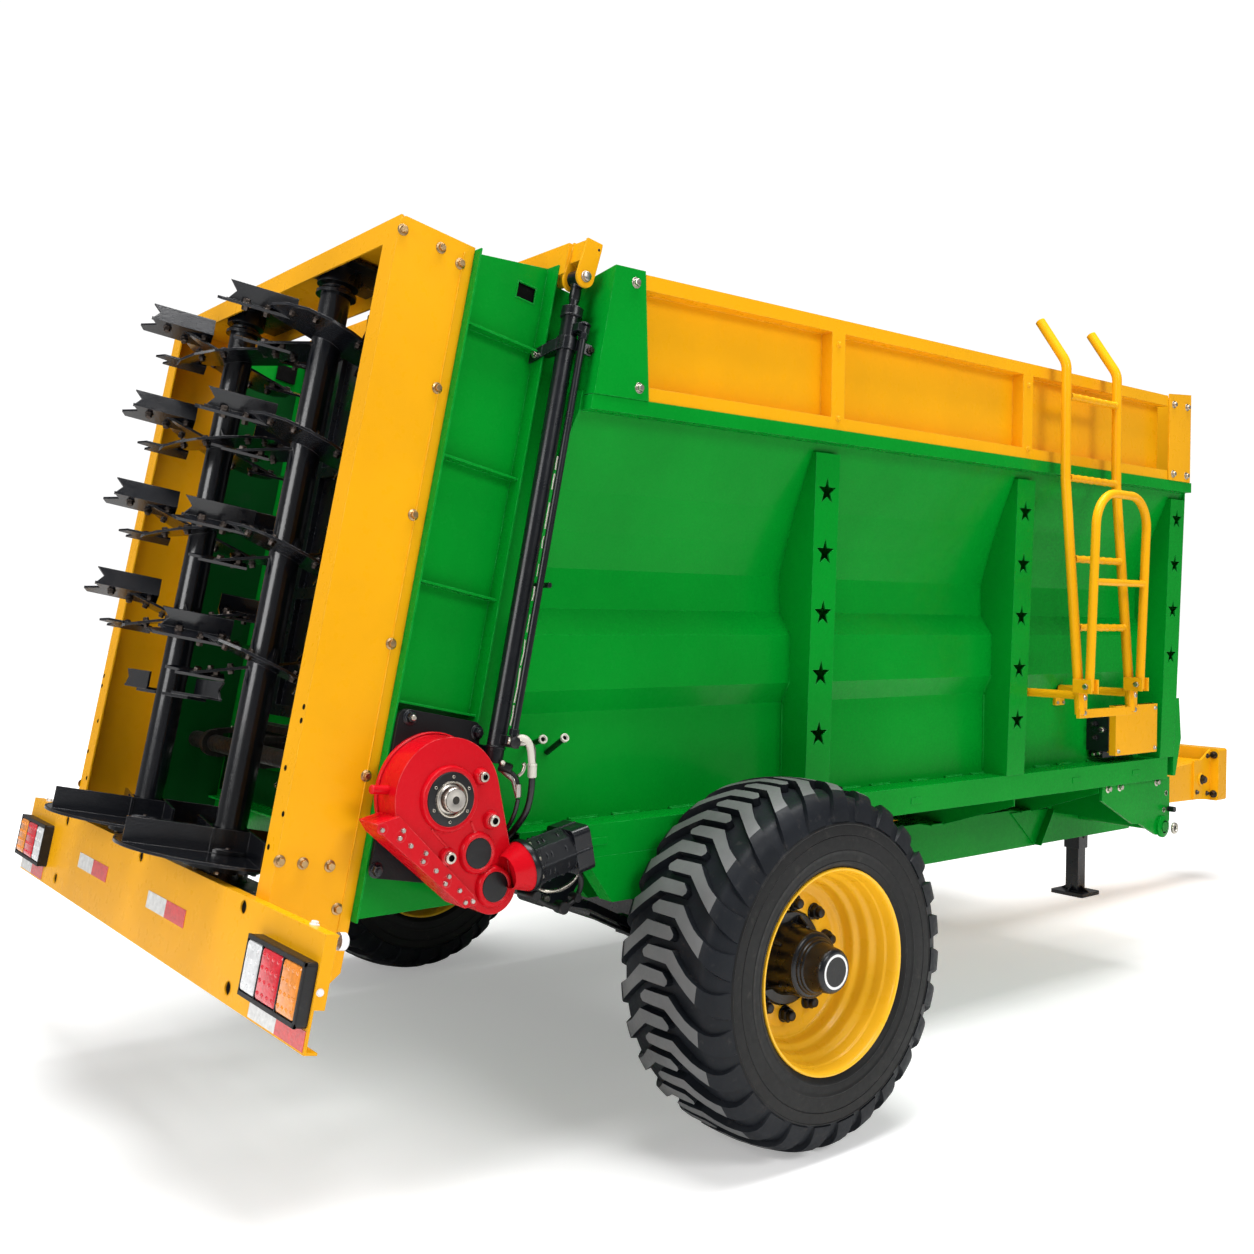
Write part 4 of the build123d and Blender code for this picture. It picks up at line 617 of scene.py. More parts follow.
# ---------------------------------------------------------------- rear frame, bumper and lights
YEL_BOLTS = [(0.012, 2.604), (0.132, 2.602), (0.198, 2.583), (0.1985, 2.233), (0.198, 1.884), (0.204, 1.539),
             (0.2035, 1.192), (0.191, 0.850), (0.008, 0.955), (0.072, 0.955), (0.148, 0.955)]
rf = Piece("rear_frame_bolts", GOLD, ZINC, HOLE_SHADE, WHITE, YELLOW)
for side in (-1, 1):
    n = Vector((0, side, 0))
    for k, (t, s) in enumerate(YEL_BOLTS):
        rf.bolt(T(t, side * 0.810, s), n, 0.019, 0.011, 0, 0.0155, turn=0.37 * k)
    # dark discs for the holes in the rear flange: painted shade
    for y, s in [(0.806, 1.338), (0.805, 1.303), (0.761, 1.180), (0.799, 1.069), (0.752, 0.980)]:
        rf.lathe(T(-0.0004, side * min(y, 0.797), s), -D_FWD, [(0.0, 0.0075), (0.0004, 0.0065)], 2, 16, caps=(False, True))
    # fold of the side sheet and the stiffening bead behind the post
    rf.tube([T(0.205, side * 0.8105, s) for s in np.linspace(0.72, 2.62, 20)], 0.0022, 4, 8)
    # cap on the end of the carrier under the post
    rf.lathe(T(0.120, side * 0.806, 0.790), n, [(0, 0.022), (0.006, 0.022), (0.009, 0.018)], 3, 20, caps=(False, True))
rf.done("spreader", "bare_steel", smooth=40)

bp = Piece("bumper_details", TAPE_RED, TAPE_WHITE, HOLE_SHADE, WHITE, ZINC, YELLOW)


def tape(y0, y1, s0, s1):
    """Reflective strip: its left half white, its right half red, seen from behind."""
    m = (y0 + y1) / 2
    for k, (a, b) in enumerate(((y0, m), (m, y1))):
        bp.box(T(-0.0346, (a + b) / 2, (s0 + s1) / 2), D_FWD, (0, 1, 0), D_UP, (0.0012, abs(a - b) - 0.0008, s1 - s0), 1 - k)


tape(0.545, 0.255, 0.705, 0.753)
tape(-0.115, -0.408, 0.703, 0.751)
tape(-0.885, -1.178, 0.597, 0.642)
tape(1.178, 0.905, 0.597, 0.642)
# dark discs with a yellow rim for the holes in the bumper's face: painted shade
for y, s in [(-0.750, 0.828), (0.750, 0.828), (-0.750, 0.630), (0.750, 0.630), (0.0, 0.830)]:
    bp.lathe(T(-0.0305, y, s), -D_FWD, [(0.0, 0.0169), (0.0006, 0.0120)], 2, 28, caps=(False, True))
    bp.lathe(T(-0.0345, y, s), -D_FWD, [(0.0, 0.0182), (0.0010, 0.0178), (0.0006, 0.0170), (-0.003, 0.0169)], 5, 28)
for side in (-1, 1):
    # white buffers at the ends of the top flange; the white heads of the lamps' screws and of the top flange's bolts
    # are a painted glint
    bp.bolt(T(-0.022, side * 1.184, 0.728), (0, side, 0), 0.012, 0.006, 3, 0.009)
    bp.stud(T(0.0095, side * 1.168, 0.8375), D_FWD, 0.020, 0.018, 3, 28)
    bp.bolt(T(-0.010, side * 1.080, 0.8545), D_UP, 0.015, 0.007, 3, 0.012)
bp.done("spreader", "yellow_paint", bevel=0.0)

lm = Piece("lamp_lenses", LENS_WHITE, LENS_RED, LENS_AMBER, PLASTIC)
for side in (-1, 1):
    for m, (y0, y1) in enumerate([(0.881, 0.958), (0.966, 1.069), (1.078, 1.166)]):
        s0, s1 = 0.660, 0.777
        yc, w = (y0 + y1) / 2, y1 - y0
        # pillow-shaped lens with four rows of diodes standing under the glass
        rows = []
        for t, shrink in [(-0.060, 0.0), (-0.0655, 0.0), (-0.0680, 0.0025), (-0.0690, 0.006)]:
            hw, hs = w / 2 - shrink, (s1 - s0) / 2 - shrink
            row = []
            for a0, cy, cs in ((0, 1, 1), (90, -1, 1), (180, -1, -1), (270, 1, -1)):
                for a in (0, 30, 60, 90):
                    r = 0.007
                    row.append(T(t, side * yc + cy * (hw - r) + r * math.cos(math.radians(a0 + a)),
                                 (s0 + s1) / 2 + cs * (hs - r) + r * math.sin(math.radians(a0 + a))))
            rows.append(row)
        lm.rows(rows, True, m, (False, True))
        for i in range(4):
            for j in range(4 if m else 3):
                cy = side * (y0 + w * (j + 0.5) / (4 if m else 3))
                cs = s0 + (s1 - s0) * (i + 0.5) / 4
                lm.lathe(T(-0.0688, cy, cs), -D_FWD, [(0.0, 0.0062), (0.0016, 0.0052), (0.0024, 0.0030), (0.0026, 0.0012)], m, 12,
                         caps=(False, True))
    # bezel frame round the lenses
    for y0, y1, s0, s1 in [(0.8755, 1.1775, 0.7785, 0.7895), (0.8755, 1.1775, 0.6465, 0.6575), (0.8755, 0.8795, 0.6465, 0.7895),
                           (0.9598, 0.9642, 0.650, 0.786), (1.0710, 1.0762, 0.650, 0.786), (1.1685, 1.1775, 0.6465, 0.7895)]:
        lm.box(T(-0.0640, side * (y0 + y1) / 2, (s0 + s1) / 2), D_FWD, (0, 1, 0), D_UP, (0.0075, y1 - y0, s1 - s0), 3)
lm.done("spreader", "lamp_lens", bevel=0.0008, segs=2, smooth=50)

# ---------------------------------------------------------------- beaters
LEVELS = {-1: (2.440, 2.120, 1.800, 1.480), 1: (2.490, 2.195, 1.900, 1.605)}
BT, BY = 0.0765, 0.335


def heading(deg):
    a = math.radians(deg)
    return Vector((math.cos(a) * C, math.sin(a), -math.cos(a) * S))


for word, side, hand in (("right", -1, 1), ("left", 1, -1)):
    b = Piece(f"beater_hardware_{word}", DARK, BEATER, WORN)
    y0 = side * BY
    tilt, lean_a = math.radians(16), math.radians(20)
    for s in LEVELS[side]:
        for turn in (0, 180):
            h = 165 + turn
            out, ahead = heading(h), heading(h + 90) * hand
            flat = D_UP * math.cos(tilt) - out * math.sin(tilt)
            lean = D_UP * math.cos(lean_a) + ahead * math.sin(lean_a)
            high = ahead * math.cos(lean_a) - D_UP * math.sin(lean_a)
            o = T(BT, y0, s)
            fo = T(BT, y0, s - 0.048)
            fv = flat.cross(ahead)
            for u, w in ((0.125, 0.016), (0.185, -0.020), (0.245, 0.014)):
                p = o + out * u + high * (-w)
                b.bolt(p + lean * 0.008, lean, 0.019, 0.010, 0, 0.014, turn=u * 40)
                b.bolt(p, -lean, 0.019, 0.012, 0, 0.014, turn=u * 25)
            # bolts through the flight, near its rim
            for a in (-52, -24, 24, 52):
                ca, sa = math.cos(math.radians(a)), math.sin(math.radians(a))
                p = fo + ahead * (0.165 * ca) + fv * (0.165 * sa)
                b.bolt(p + flat * 0.008, flat, 0.016, 0.009, 0, 0.012, turn=a)
                b.bolt(p, -flat, 0.016, 0.010, 0, 0.012, turn=a)
            # gusset between the flight and the tube
            b.plate([fo + ahead * 0.040 + flat * 0.006, fo + ahead * 0.120 + flat * 0.006, fo + ahead * 0.040 + flat * 0.062],
                    fv, 0.007, 1)
            # knife bolts
            back, kl = heading(h + 180), D_UP * math.cos(lean_a) - ahead * math.sin(lean_a)
            for u in (0.125, 0.175):
                b.bolt(T(BT, y0, s - 0.100) + back * u + kl * 0.008, kl, 0.020, 0.011, 0, 0.015, turn=u * 9)
    # weld collars and the flange on the tube's ends
    for s0, r in ((0.907, 0.075), (2.540, 0.060)):
        b.lathe(T(BT, y0, s0), D_UP, [(0.0, 0.044), (0.0, r), (0.010, r), (0.014, r - 0.004), (0.018, 0.048)], 1, 40)
        for k in range(6):
            a = heading(60 * k + 10)
            b.bolt(T(BT, y0, s0 + 0.011) + a * (r - 0.013), D_UP, 0.013, 0.007, 0, 0.0, turn=k)
    # worn bright strip along the rim of the disc
    b.lathe(T(BT, y0, 0.8985), D_UP, [(0.0, 0.300), (-0.0005, 0.3046), (0.0075, 0.3046), (0.008, 0.300)], 2, 96)
    b.done(f"beater_rotor_{word}", "bare_steel", smooth=40)

# ---------------------------------------------------------------- floor drive
RIGHT = Vector((0, -1, 0))
gb = Piece("floor_drive_details", RED, PLASTIC, ZINC, STEEL, HOLE_SHADE)


def G(x, z, y=0.950):
    return P(x, -y, z)


# main shaft: raised red ring, black cover, bright ring and the shaft's end
gb.lathe(G(-1.099, 1.075), RIGHT, [(0.0, 0.0865), (0.006, 0.0855), (0.0115, 0.0825), (0.0125, 0.0795), (0.0110, 0.0715), (0.0100, 0.0705)], 0, 64)
gb.lathe(G(-1.099, 1.075, 0.960), RIGHT, [(0.0, 0.0705), (0.0022, 0.0695), (0.0030, 0.0675), (0.0030, 0.0475)], 1, 64)
gb.lathe(G(-1.099, 1.075, 0.963), RIGHT, [(0.0, 0.0475), (0.0060, 0.0465), (0.0062, 0.0435), (0.0015, 0.0405)], 2, 56)
gb.lathe(G(-1.099, 1.075, 0.960), RIGHT, [(0.0, 0.0405), (0.0030, 0.0330), (0.0210, 0.0325), (0.0250, 0.0290), (0.0255, 0.0120),
                                         (0.0235, 0.0060)], 3, 56, caps=(False, True))
for k in range(6):
    a = math.radians(60 * k + 25)
    gb.socket(G(-1.099 + 0.0580 * math.cos(a), 1.075 + 0.0580 * math.sin(a), 0.963), RIGHT, 0.0042, 0.0035, 2, 4, 12)
# two blanked shafts
for x, z in ((-1.011, 0.927), (-0.958, 0.833)):
    gb.lathe(G(x, z), RIGHT, [(0.0, 0.0560), (0.006, 0.0550), (0.0125, 0.0510), (0.0140, 0.0480), (0.0135, 0.0430), (0.0100, 0.0400)], 0, 56)
    gb.lathe(G(x, z, 0.960), RIGHT, [(0.0, 0.0400), (0.0015, 0.0390), (0.0020, 0.0300), (0.0012, 0.0040)], 1, 48, caps=(False, True))
# cap screws on their bosses round the casting
for x, z, r in ((-1.002, 1.126, 0.0135), (-0.969, 1.009, 0.0155), (-1.103, 0.926, 0.0155)):
    gb.lathe(G(x, z), RIGHT, [(0.0, r + 0.0100), (0.007, r + 0.0075), (0.0125, r + 0.0045), (0.0135, r + 0.001)], 0, 32, caps=(False, True))
    gb.socket(G(x, z, 0.9630), RIGHT, r, 0.0110, 2, 4)
# parting flange of the casting: wing, front lip and their screws
WING = [(-1.314, 1.030), (-1.294, 0.999), (-1.053, 0.789), (-1.016, 0.794), (-1.026, 0.820), (-1.250, 1.044)]
gb.plate([G(x, z, 0.866) for x, z in WING], RIGHT, 0.083, 0)
gb.plate([G(x, z, 0.9495) for x, z in WING], RIGHT, 0.0125, 0)
for x, z in ((-1.304, 1.011), (-1.252, 0.988), (-1.184, 0.923), (-1.117, 0.859), (-1.053, 0.799)):
    gb.lathe(G(x + 0.006, z + 0.006, 0.9600), RIGHT, [(0.0, 0.0150), (0.0025, 0.0140)], 0, 24, caps=(False, True))
for x, z in ((-1.300, 1.015), (-1.250, 0.990), (-1.218, 0.968), (-1.240, 1.008), (-1.182, 0.925), (-1.174, 0.945),
             (-1.143, 0.897), (-1.115, 0.861), (-1.071, 0.838), (-1.104, 0.878), (-1.053, 0.805), (-1.030, 0.805)):
    gb.bolt(G(x, z, 0.9620), RIGHT, 0.0115, 0.006, 3, 0.0, turn=x * 9)
gb.lathe(P(-1.296, -0.906, 1.108), Vector((-1, 0, 0.1)), [(-0.050, 0.012), (0.004, 0.012), (0.007, 0.009)], 0, 20, caps=(False, True))
# raised web lines of the casting
gb.tube([G(-1.150, 1.000, 0.9500), G(-1.098, 0.945, 0.9500)], 0.0040, 0, 8)
gb.tube([G(-1.030, 1.010, 0.9500), G(-1.015, 0.975, 0.9500)], 0.0040, 0, 8)
# foot ring between the casting and its plate
gb.lathe(P(-1.099, -0.852, 1.075), RIGHT, [(0.0, 0.1640), (0.010, 0.1640), (0.012, 0.1600)], 0, 72)
gb.done("spreader", "red_paint", bevel=0.0018, segs=2, smooth=40)

pl = Piece("gearbox_plate_bolts", BLACK, ZINC, HOLE_SHADE)
for x, z, m in ((-1.159, 1.279, 0), (-0.950, 1.230, 0), (-1.255, 0.892, 0)):
    pl.bolt(P(x, -0.852, z), RIGHT, 0.026, 0.014, m, 0.021, turn=x * 20)
    pl.stud(P(x, -0.866, z), RIGHT, 0.0075, 0.008, 1 if z > 1.25 else 0, 12)
pl.done("spreader", "black_paint", smooth=40)

# motor
MP = math.radians(12)
M_AX, M_UP = Vector((math.cos(MP), 0, math.sin(MP))), Vector((-math.sin(MP), 0, math.cos(MP)))
M_Y = Vector((0, 1, 0))


def MO(d, a=0.0, r=0.0):
    """Point d along the motor, at angle a from its top, r out."""
    return P(-0.883, -0.975, 0.882) + M_AX * d + (M_UP * math.cos(a) + RIGHT * math.sin(a)) * r


mo = Piece("motor_details", BLACK, ZINC, STEEL, PLASTIC, RED, HOLE_SHADE)
mo.lathe(MO(0), M_AX, [(-0.003, 0.0700), (0.002, 0.0715), (0.014, 0.0715), (0.0175, 0.0690), (0.0185, 0.0610)], 0, 56)
mo.lathe(MO(0), M_AX, [(-0.052, 0.0440), (-0.040, 0.0500), (-0.022, 0.0580), (-0.010, 0.0640), (-0.002, 0.0680)], 4, 56)
for k in range(8):
    a = math.radians(45 * k + 22.5)
    mo.socket(MO(0.017, a, 0.0640), M_AX, 0.0058, 0.006, 1, 5, 14)
# ring joints of the body and its tie bolts
for d in (0.046, 0.062, 0.110, 0.138):
    mo.lathe(MO(d), M_AX, [(0.0, 0.0600), (0.0008, 0.0640), (0.0042, 0.0640), (0.0050, 0.0600)], 0, 8, phase=math.pi / 8,
             start=M_UP)
for k in range(8):
    a = math.radians(45 * k)
    mo.tube([MO(0.020, a, 0.0610), MO(0.195, a, 0.0610)], 0.0040, 0, 8)
    mo.socket(MO(0.196, a, 0.0480), M_AX, 0.0065, 0.007, 3, 5, 14)
# bright cable loop under the motor and the black clamps that hold it
loop = [P(x, y, z) for x, y, z in ((-0.820, -0.955, 0.815), (-0.801, -0.975, 0.806), (-0.754, -0.978, 0.806), (-0.707, -0.975, 0.824),
                                   (-0.685, -0.970, 0.852), (-0.701, -0.960, 0.868))]
mo.tube([Vector(q) for q in spline(loop, 8)], 0.0048, 1, 10)
mo.tube([Vector(q) + Vector((0.010, 0.012, -0.006)) for q in spline(loop[1:5], 8)], 0.0042, 2, 10)
for x, z, w in ((-0.825, 0.793, 0.030), (-0.730, 0.748, 0.036), (-0.682, 0.770, 0.026)):
    mo.lathe(P(x, -0.955, z), RIGHT, [(-0.020, w * 0.5), (0.010, w * 0.5), (0.013, w * 0.42), (0.013, w * 0.20)], 3, 20, caps=(True, True))
# black hose that joins the clamps and goes back up to the motor
under = [P(x, y, z) for x, y, z in ((-0.800, -0.962, 0.835), (-0.819, -0.958, 0.812), (-0.825, -0.955, 0.793), (-0.785, -0.955, 0.764),
                                    (-0.730, -0.955, 0.748), (-0.682, -0.955, 0.770), (-0.668, -0.960, 0.815), (-0.692, -0.964, 0.850))]
mo.tube([Vector(q) for q in spline(under, 8)], 0.0078, 3, 12)
for d in (0.168,):
    mo.lathe(MO(d, math.radians(20), 0.058), M_UP, [(-0.004, 0.0140), (0.006, 0.0140), (0.008, 0.0120)], 3, 6, caps=(False, True))
mo.stud(MO(0.196), M_AX, 0.030, 0.006, 0, 32)
mo.bolt(MO(0.202), M_AX, 0.016, 0.008, 1, 0.0)
mo.done("spreader", "black_paint", smooth=40)

# ---------------------------------------------------------------- lift cylinders and their oil fittings
cy = Piece("cylinder_details", BLACK, ZINC, CREAM, STEEL, PLASTIC, DARK, HOLE_SHADE)
CYL_T, CYL_Y = 0.530, 0.895
rnd = random.Random(7)
for side in (-1, 1):
    n = Vector((0, side, 0))
    yc, ct = side * CYL_Y, CYL_T
    # gland's rim, weld ring of the barrel's foot
    cy.lathe(T(ct, yc, 2.5335), D_UP, [(0.0, 0.0250), (0.0, 0.0318), (0.004, 0.0320), (0.005, 0.0312)], 0, 48)
    cy.lathe(T(ct, yc, 2.5600), D_UP, [(-0.003, 0.0312), (0.001, 0.0300), (0.0018, 0.0200), (0.0018, 0.0140)], 0, 48)
    cy.lathe(T(ct, yc, 1.318), D_UP, [(0.0, 0.0250), (0.0015, 0.0275), (0.006, 0.0275), (0.008, 0.0250)], 0, 40)
    cy.lathe(T(ct, yc, 1.279), D_UP, [(0.0, 0.0), (0.0, 0.0200), (0.004, 0.0262), (0.010, 0.0262)], 0, 40)
    # strap round the barrel, its two arms and their bolts
    cy.lathe(T(ct, yc, 2.455), D_UP, [(-0.018, 0.0252), (-0.018, 0.0302), (0.018, 0.0302), (0.018, 0.0252)], 0, 40)
    arm = [T(0.488, side * 0.790, 2.420), T(0.486, side * 0.846, 2.430), T(0.499, side * 0.890, 2.448), T(0.506, side * 0.912, 2.455)]
    for a, c in zip(arm, arm[1:]):
        d = c - a
        cy.box((a + c) / 2, d, d.cross(D_UP), D_UP, (d.length + 0.004, 0.0060, 0.034), 0)
    cy.bolt(T(0.4835, side * 0.818, 2.424), -D_FWD + n * 0.35, 0.015, 0.009, 1, 0.011)
    a, c = T(0.545, side * 0.921, 2.455), T(0.589, side * 0.934, 2.450)
    d = c - a
    cy.box((a + c) / 2, d, d.cross(D_UP), D_UP, (d.length, 0.0060, 0.030), 0)
    cy.bolt(T(0.585, side * 0.937, 2.450), n, 0.014, 0.008, 5, 0.011)
    # oil pipe: unions, elbow on top
    for s0 in (1.359, 2.468):
        cy.lathe(T(0.550, side * 0.940, s0), D_UP, [(0.0, 0.0105), (0.001, 0.0140), (0.018, 0.0140), (0.0195, 0.0110)], 0, 6)
    cy.lathe(T(0.548, side * 0.938, 2.509), D_UP, [(0.0, 0.0190), (0.004, 0.0185), (0.008, 0.0140), (0.009, 0.0060)], 0, 28, caps=(False, True))
    # painted light: short cream dashes along the gap between barrel and pipe
    s0 = 1.385
    while s0 < 2.10:
        s1 = s0 + rnd.uniform(0.030, 0.110)
        k = rnd.uniform(-0.0015, 0.0015)
        cy.tube([T(0.546 + k, side * 0.924, s0), T(0.546 - k, side * 0.9245, (s0 + s1) / 2), T(0.546 + k, side * 0.924, s1)],
                rnd.choice((0.0012, 0.0018, 0.0022)), 2, 8)
        s0 = s1 + rnd.uniform(0.004, 0.045)
    # lower port: block, cream swept pipe and crimped hose end
    cy.box(P(-0.896, side * 0.935, 1.209), D_FWD, n, D_UP, (0.030, 0.042, 0.030), 4)
    cy.lathe(P(-0.896, side * 0.954, 1.209), n, [(0.0, 0.0165), (0.004, 0.0165), (0.006, 0.0140), (0.0065, 0.0050)], 4, 28, caps=(False, True))
    cy.lathe(P(-0.911, side * 0.945, 1.214), (-1, 0, 0.2), [(-0.004, 0.0110), (0.003, 0.0110), (0.005, 0.0085)], 1, 6, caps=(False, True))
    pipe = spline([P(-0.884, side * 0.946, 1.212), P(-0.872, side * 0.952, 1.219), P(-0.858, side * 0.957, 1.212),
                   P(-0.847, side * 0.957, 1.192), P(-0.842, side * 0.957, 1.164), P(-0.840, side * 0.957, 1.136)], 6)
    cy.tube([Vector(q) for q in pipe], 0.0105, 2, 16)
    cy.lathe(P(-0.840, side * 0.957, 1.150), (0, 0, -1), [(0.0, 0.0115), (0.001, 0.0134), (0.006, 0.0134), (0.007, 0.0122),
                                                         (0.010, 0.0126), (0.036, 0.0122), (0.038, 0.0100)], 2, 20)
    cy.lathe(P(-0.884, side * 0.947, 1.213), (1, 0.1 * side, 0.25), [(0.0, 0.0130), (0.010, 0.0130), (0.011, 0.0108)], 1, 6, caps=(False, True))
    # small elbow and its hose end
    cy.lathe(P(-0.908, side * 0.920, 1.142), Vector((0.62, side * 0.60, -0.30)), [(-0.012, 0.0150), (0.020, 0.0150), (0.024, 0.0115)], 4, 20,
             caps=(True, True))
    cy.lathe(P(-0.916, side * 0.928, 1.152), Vector((-0.4, side * 0.6, 0.5)), [(-0.004, 0.0085), (0.006, 0.0085), (0.008, 0.0060)], 1, 6,
             caps=(False, True))
    elbow = spline([P(-0.896, side * 0.936, 1.128), P(-0.889, side * 0.948, 1.116), P(-0.886, side * 0.954, 1.098),
                    P(-0.885, side * 0.955, 1.080)], 6)
    cy.tube([Vector(q) for q in elbow], 0.0070, 4, 12)
    cy.lathe(P(-0.885, side * 0.955, 1.098), (0.02, 0, -1), [(0.0, 0.0065), (0.001, 0.0092), (0.034, 0.0088), (0.036, 0.0062)], 3, 14)
    wing = [P(-0.886, side * 0.958, 1.120), P(-0.876, side * 0.962, 1.130), P(-0.870, side * 0.963, 1.146), P(-0.874, side * 0.962, 1.154)]
    cy.tube([Vector(q) for q in spline(wing, 6)], 0.0052, 1, 10)
    # pegs on the hopper wall
    for base, tip in (((-0.745, 0.803, 1.179), (-0.763, 0.900, 1.206)), ((-0.675, 0.803, 1.156), (-0.687, 0.900, 1.206))):
        b0, t0 = P(base[0], side * base[1], base[2]), P(tip[0], side * tip[1], tip[2])
        cy.tube([b0, t0], 0.0085, 0, 16)
        cy.lathe(t0, t0 - b0, [(-0.006, 0.0088), (-0.002, 0.0128), (0.005, 0.0124), (0.006, 0.0085), (0.001, 0.0062)], 2, 20)
        # dark disc in the end of each peg: painted shade
        cy.lathe(t0, t0 - b0, [(0.001, 0.0064), (0.0008, 0.0010)], 6, 16, caps=(False, True))
    b0, t0 = P(-0.723, side * 0.775, 1.633), P(-0.715, side * 0.860, 1.633)
    cy.tube([b0, t0], 0.0080, 0, 14)
cy.done("spreader", "black_paint", smooth=40)

# rod ends: black eye and neck, bright pin
re = Piece("rod_end_details", BLACK, STEEL, DARK)
for side in (-1, 1):
    n = Vector((0, side, 0))
    re.lathe(T(CYL_T, side * CYL_Y, 0), D_UP, [(2.5680, 0.0127), (2.5682, 0.0134), (2.5830, 0.0134), (2.5840, 0.0152), (2.5905, 0.0152),
                                              (2.5915, 0.0160), (2.6180, 0.0160), (2.6300, 0.0175)], 0, 32)
    re.lathe(T(CYL_T, side * CYL_Y, 2.648), n, [(-0.0186, 0.0134), (-0.0186, 0.0246), (0.0186, 0.0246), (0.0186, 0.0134)], 0, 36)
    re.lathe(T(CYL_T, side * 0.937, 2.648), n, [(-0.007, 0.0160), (-0.004, 0.0160), (-0.0035, 0.0136), (0.0030, 0.0132), (0.0045, 0.0112)], 1, 28,
             caps=(False, True))
    # small hole in each fork's outer plate
    # a dark disc stands in for the hole: painted shade
    re.lathe(T(CYL_T + 0.030, side * 0.930, 2.738), n, [(-0.0005, 0.0048), (0.0002, 0.0040)], 2, 14, caps=(False, True))
re.done("rear_door", "black_paint", smooth=40)

# ---------------------------------------------------------------- hopper: covers, rails, seams
hb = Piece("hopper_bolts", ZINC, GREEN, YELLOW, HOLE_SHADE)
for side in (-1, 1):
    n = Vector((0, side, 0))
    for x, z in ((-0.514, 2.490), (-0.497, 2.195)):
        hb.bolt(P(x, side * 0.979, z), n, 0.019, 0.010, 0, 0.016, turn=x * 7)
    for x, z in ((2.545, 2.487), (2.545, 2.189), (2.660, 2.487), (2.660, 2.189)):
        hb.bolt(P(x, side * 0.978, z), n, 0.019, 0.010, 0, 0.016, turn=z * 7)
    # dark patch framed by four green strips: painted shade
    hb.box(P(-0.760, side * 0.7770, 2.460), D_FWD, n, D_UP, (0.078, 0.008, 0.060), 3)
    for dx, dz, a, b in ((0, 0.0235, 0.066, 0.004), (0, -0.0235, 0.066, 0.004), (0.0325, 0, 0.004, 0.050), (-0.0325, 0, 0.004, 0.050)):
        c = P(-0.760, side * 0.7905, 2.460) + D_FWD * dx + D_UP * dz
        hb.box(c, D_FWD, n, D_UP, (a, 0.0022, b), 1)
    # tabs that hook the sill's cover strip to the wall
    k = 0
    x = -0.800
    while x < 2.66:
        step = (0.205, 0.165, 0.230)[k % 3]
        hb.box(P(x + 0.055, side * 0.8035, 0.9590), (1, 0, 0), n, (0, 0, 1), (0.110, 0.006, 0.006), 1)
        hb.box(P(x + 0.055, side * 0.8055, 0.9560), (1, 0, 0), n, (0, 0, 1), (0.100, 0.012, 0.003), 1)
        x += step
        k += 1
    # weld runs where the posts' plates meet the wall
    for px in (0.365, 1.510):
        for dx in (-0.0585, 0.0585):
            hb.tube([P(px + dx, side * y, z) for y, z in ((0.802, 0.975), (0.802, 1.10), (0.802, 1.262))], 0.0035, 1, 8)
            hb.tube([P(px + dx, side * y, z) for y, z in ((0.8015, 1.272), (0.8325, 1.338))], 0.0035, 1, 8)
    # bolts of the extension posts, under its top tube
    for x in (0.365, 1.452):
        for z in (2.20, 2.44):
            hb.bolt(P(x, side * 0.972, z), n, 0.015, 0.007, 2, 0.012, turn=x)
    # lashing slots' lips on the sill
    for x in (-0.560, 0.05, 0.90, 1.95, 2.42):
        hb.box(P(x, side * 0.9038, 0.905), (1, 0, 0), n, (0, 0, 1), (0.060, 0.003, 0.022), 1)
hb.done("spreader", "green_paint", bevel=0.0008, segs=1)

# painted shade: dark green sheets over the inner faces of the rear panels, a closing sheet and an apron ahead of the
# floor's rear shaft
ln = Piece("rear_painted_shade_sheets", SHADE, ZINC)
for side in (-1, 1):
    ln.box(T(0.3675, side * 0.7844, 1.710), D_FWD, (0, 1, 0), D_UP, (0.255, 0.0008, 1.660), 0)
    for s in (0.95, 1.35, 1.75, 2.15):
        ln.bolt(T(0.262, side * 0.7838, s), (0, -side, 0), 0.013, 0.006, 1, 0.011, turn=s)
ln.box(P(-0.920, 0.7925, 0.935), (1, 0, 0), (0, 1, 0), (0, 0, 1), (0.200, 0.0030, 0.330), 0)
ln.box(P(-0.973, 0, 0.925), (1, 0, 0), (0, 1, 0), (0, 0, 1), (0.003, 1.540, 0.130), 0)
for y in (-0.70, -0.35, 0.0, 0.35, 0.70):
    ln.bolt(P(-0.9748, y, 0.945), (-1, 0, 0), 0.016, 0.008, 1, 0.013, turn=y)
ln.done("spreader", "green_paint", bevel=0.0)

# ---------------------------------------------------------------- ladder
ld = Piece("ladder_bolts", ZINC, YELLOW, HOLE_SHADE, PLASTIC)
for x in (1.606, 1.973):
    for z in (1.206, 1.262):
        ld.bolt(P(x + 0.010, -1.116, z), RIGHT, 0.017, 0.009, 0, 0.014, turn=z * 9)
    for dx in (-0.0265, 0.0265):
        ld.bolt(P(x + dx, -1.146, 1.307), (1 if dx > 0 else -1, 0, 0), 0.020, 0.009, 0, 0.0, turn=x)
    for dx, dz in ((-0.022, -0.020), (0.022, -0.020), (-0.022, 0.020), (0.022, 0.020)):
        ld.bolt(P(x + dx, -0.813, 1.234 + dz), RIGHT, 0.013, 0.006, 0, 0.0)
    # plastic plugs in the tops of the stiles
    ld.lathe(P(x, -0.9225, 2.711), (0, 0.535, 0.845), [(-0.004, 0.0175), (0.0, 0.0175), (0.003, 0.0150)], 3, 20, caps=(False, True))
ld.done("spreader", "yellow_paint", smooth=40)
# ribbed treads over the rungs
rg = Piece("ladder_treads", YELLOW, ZINC)


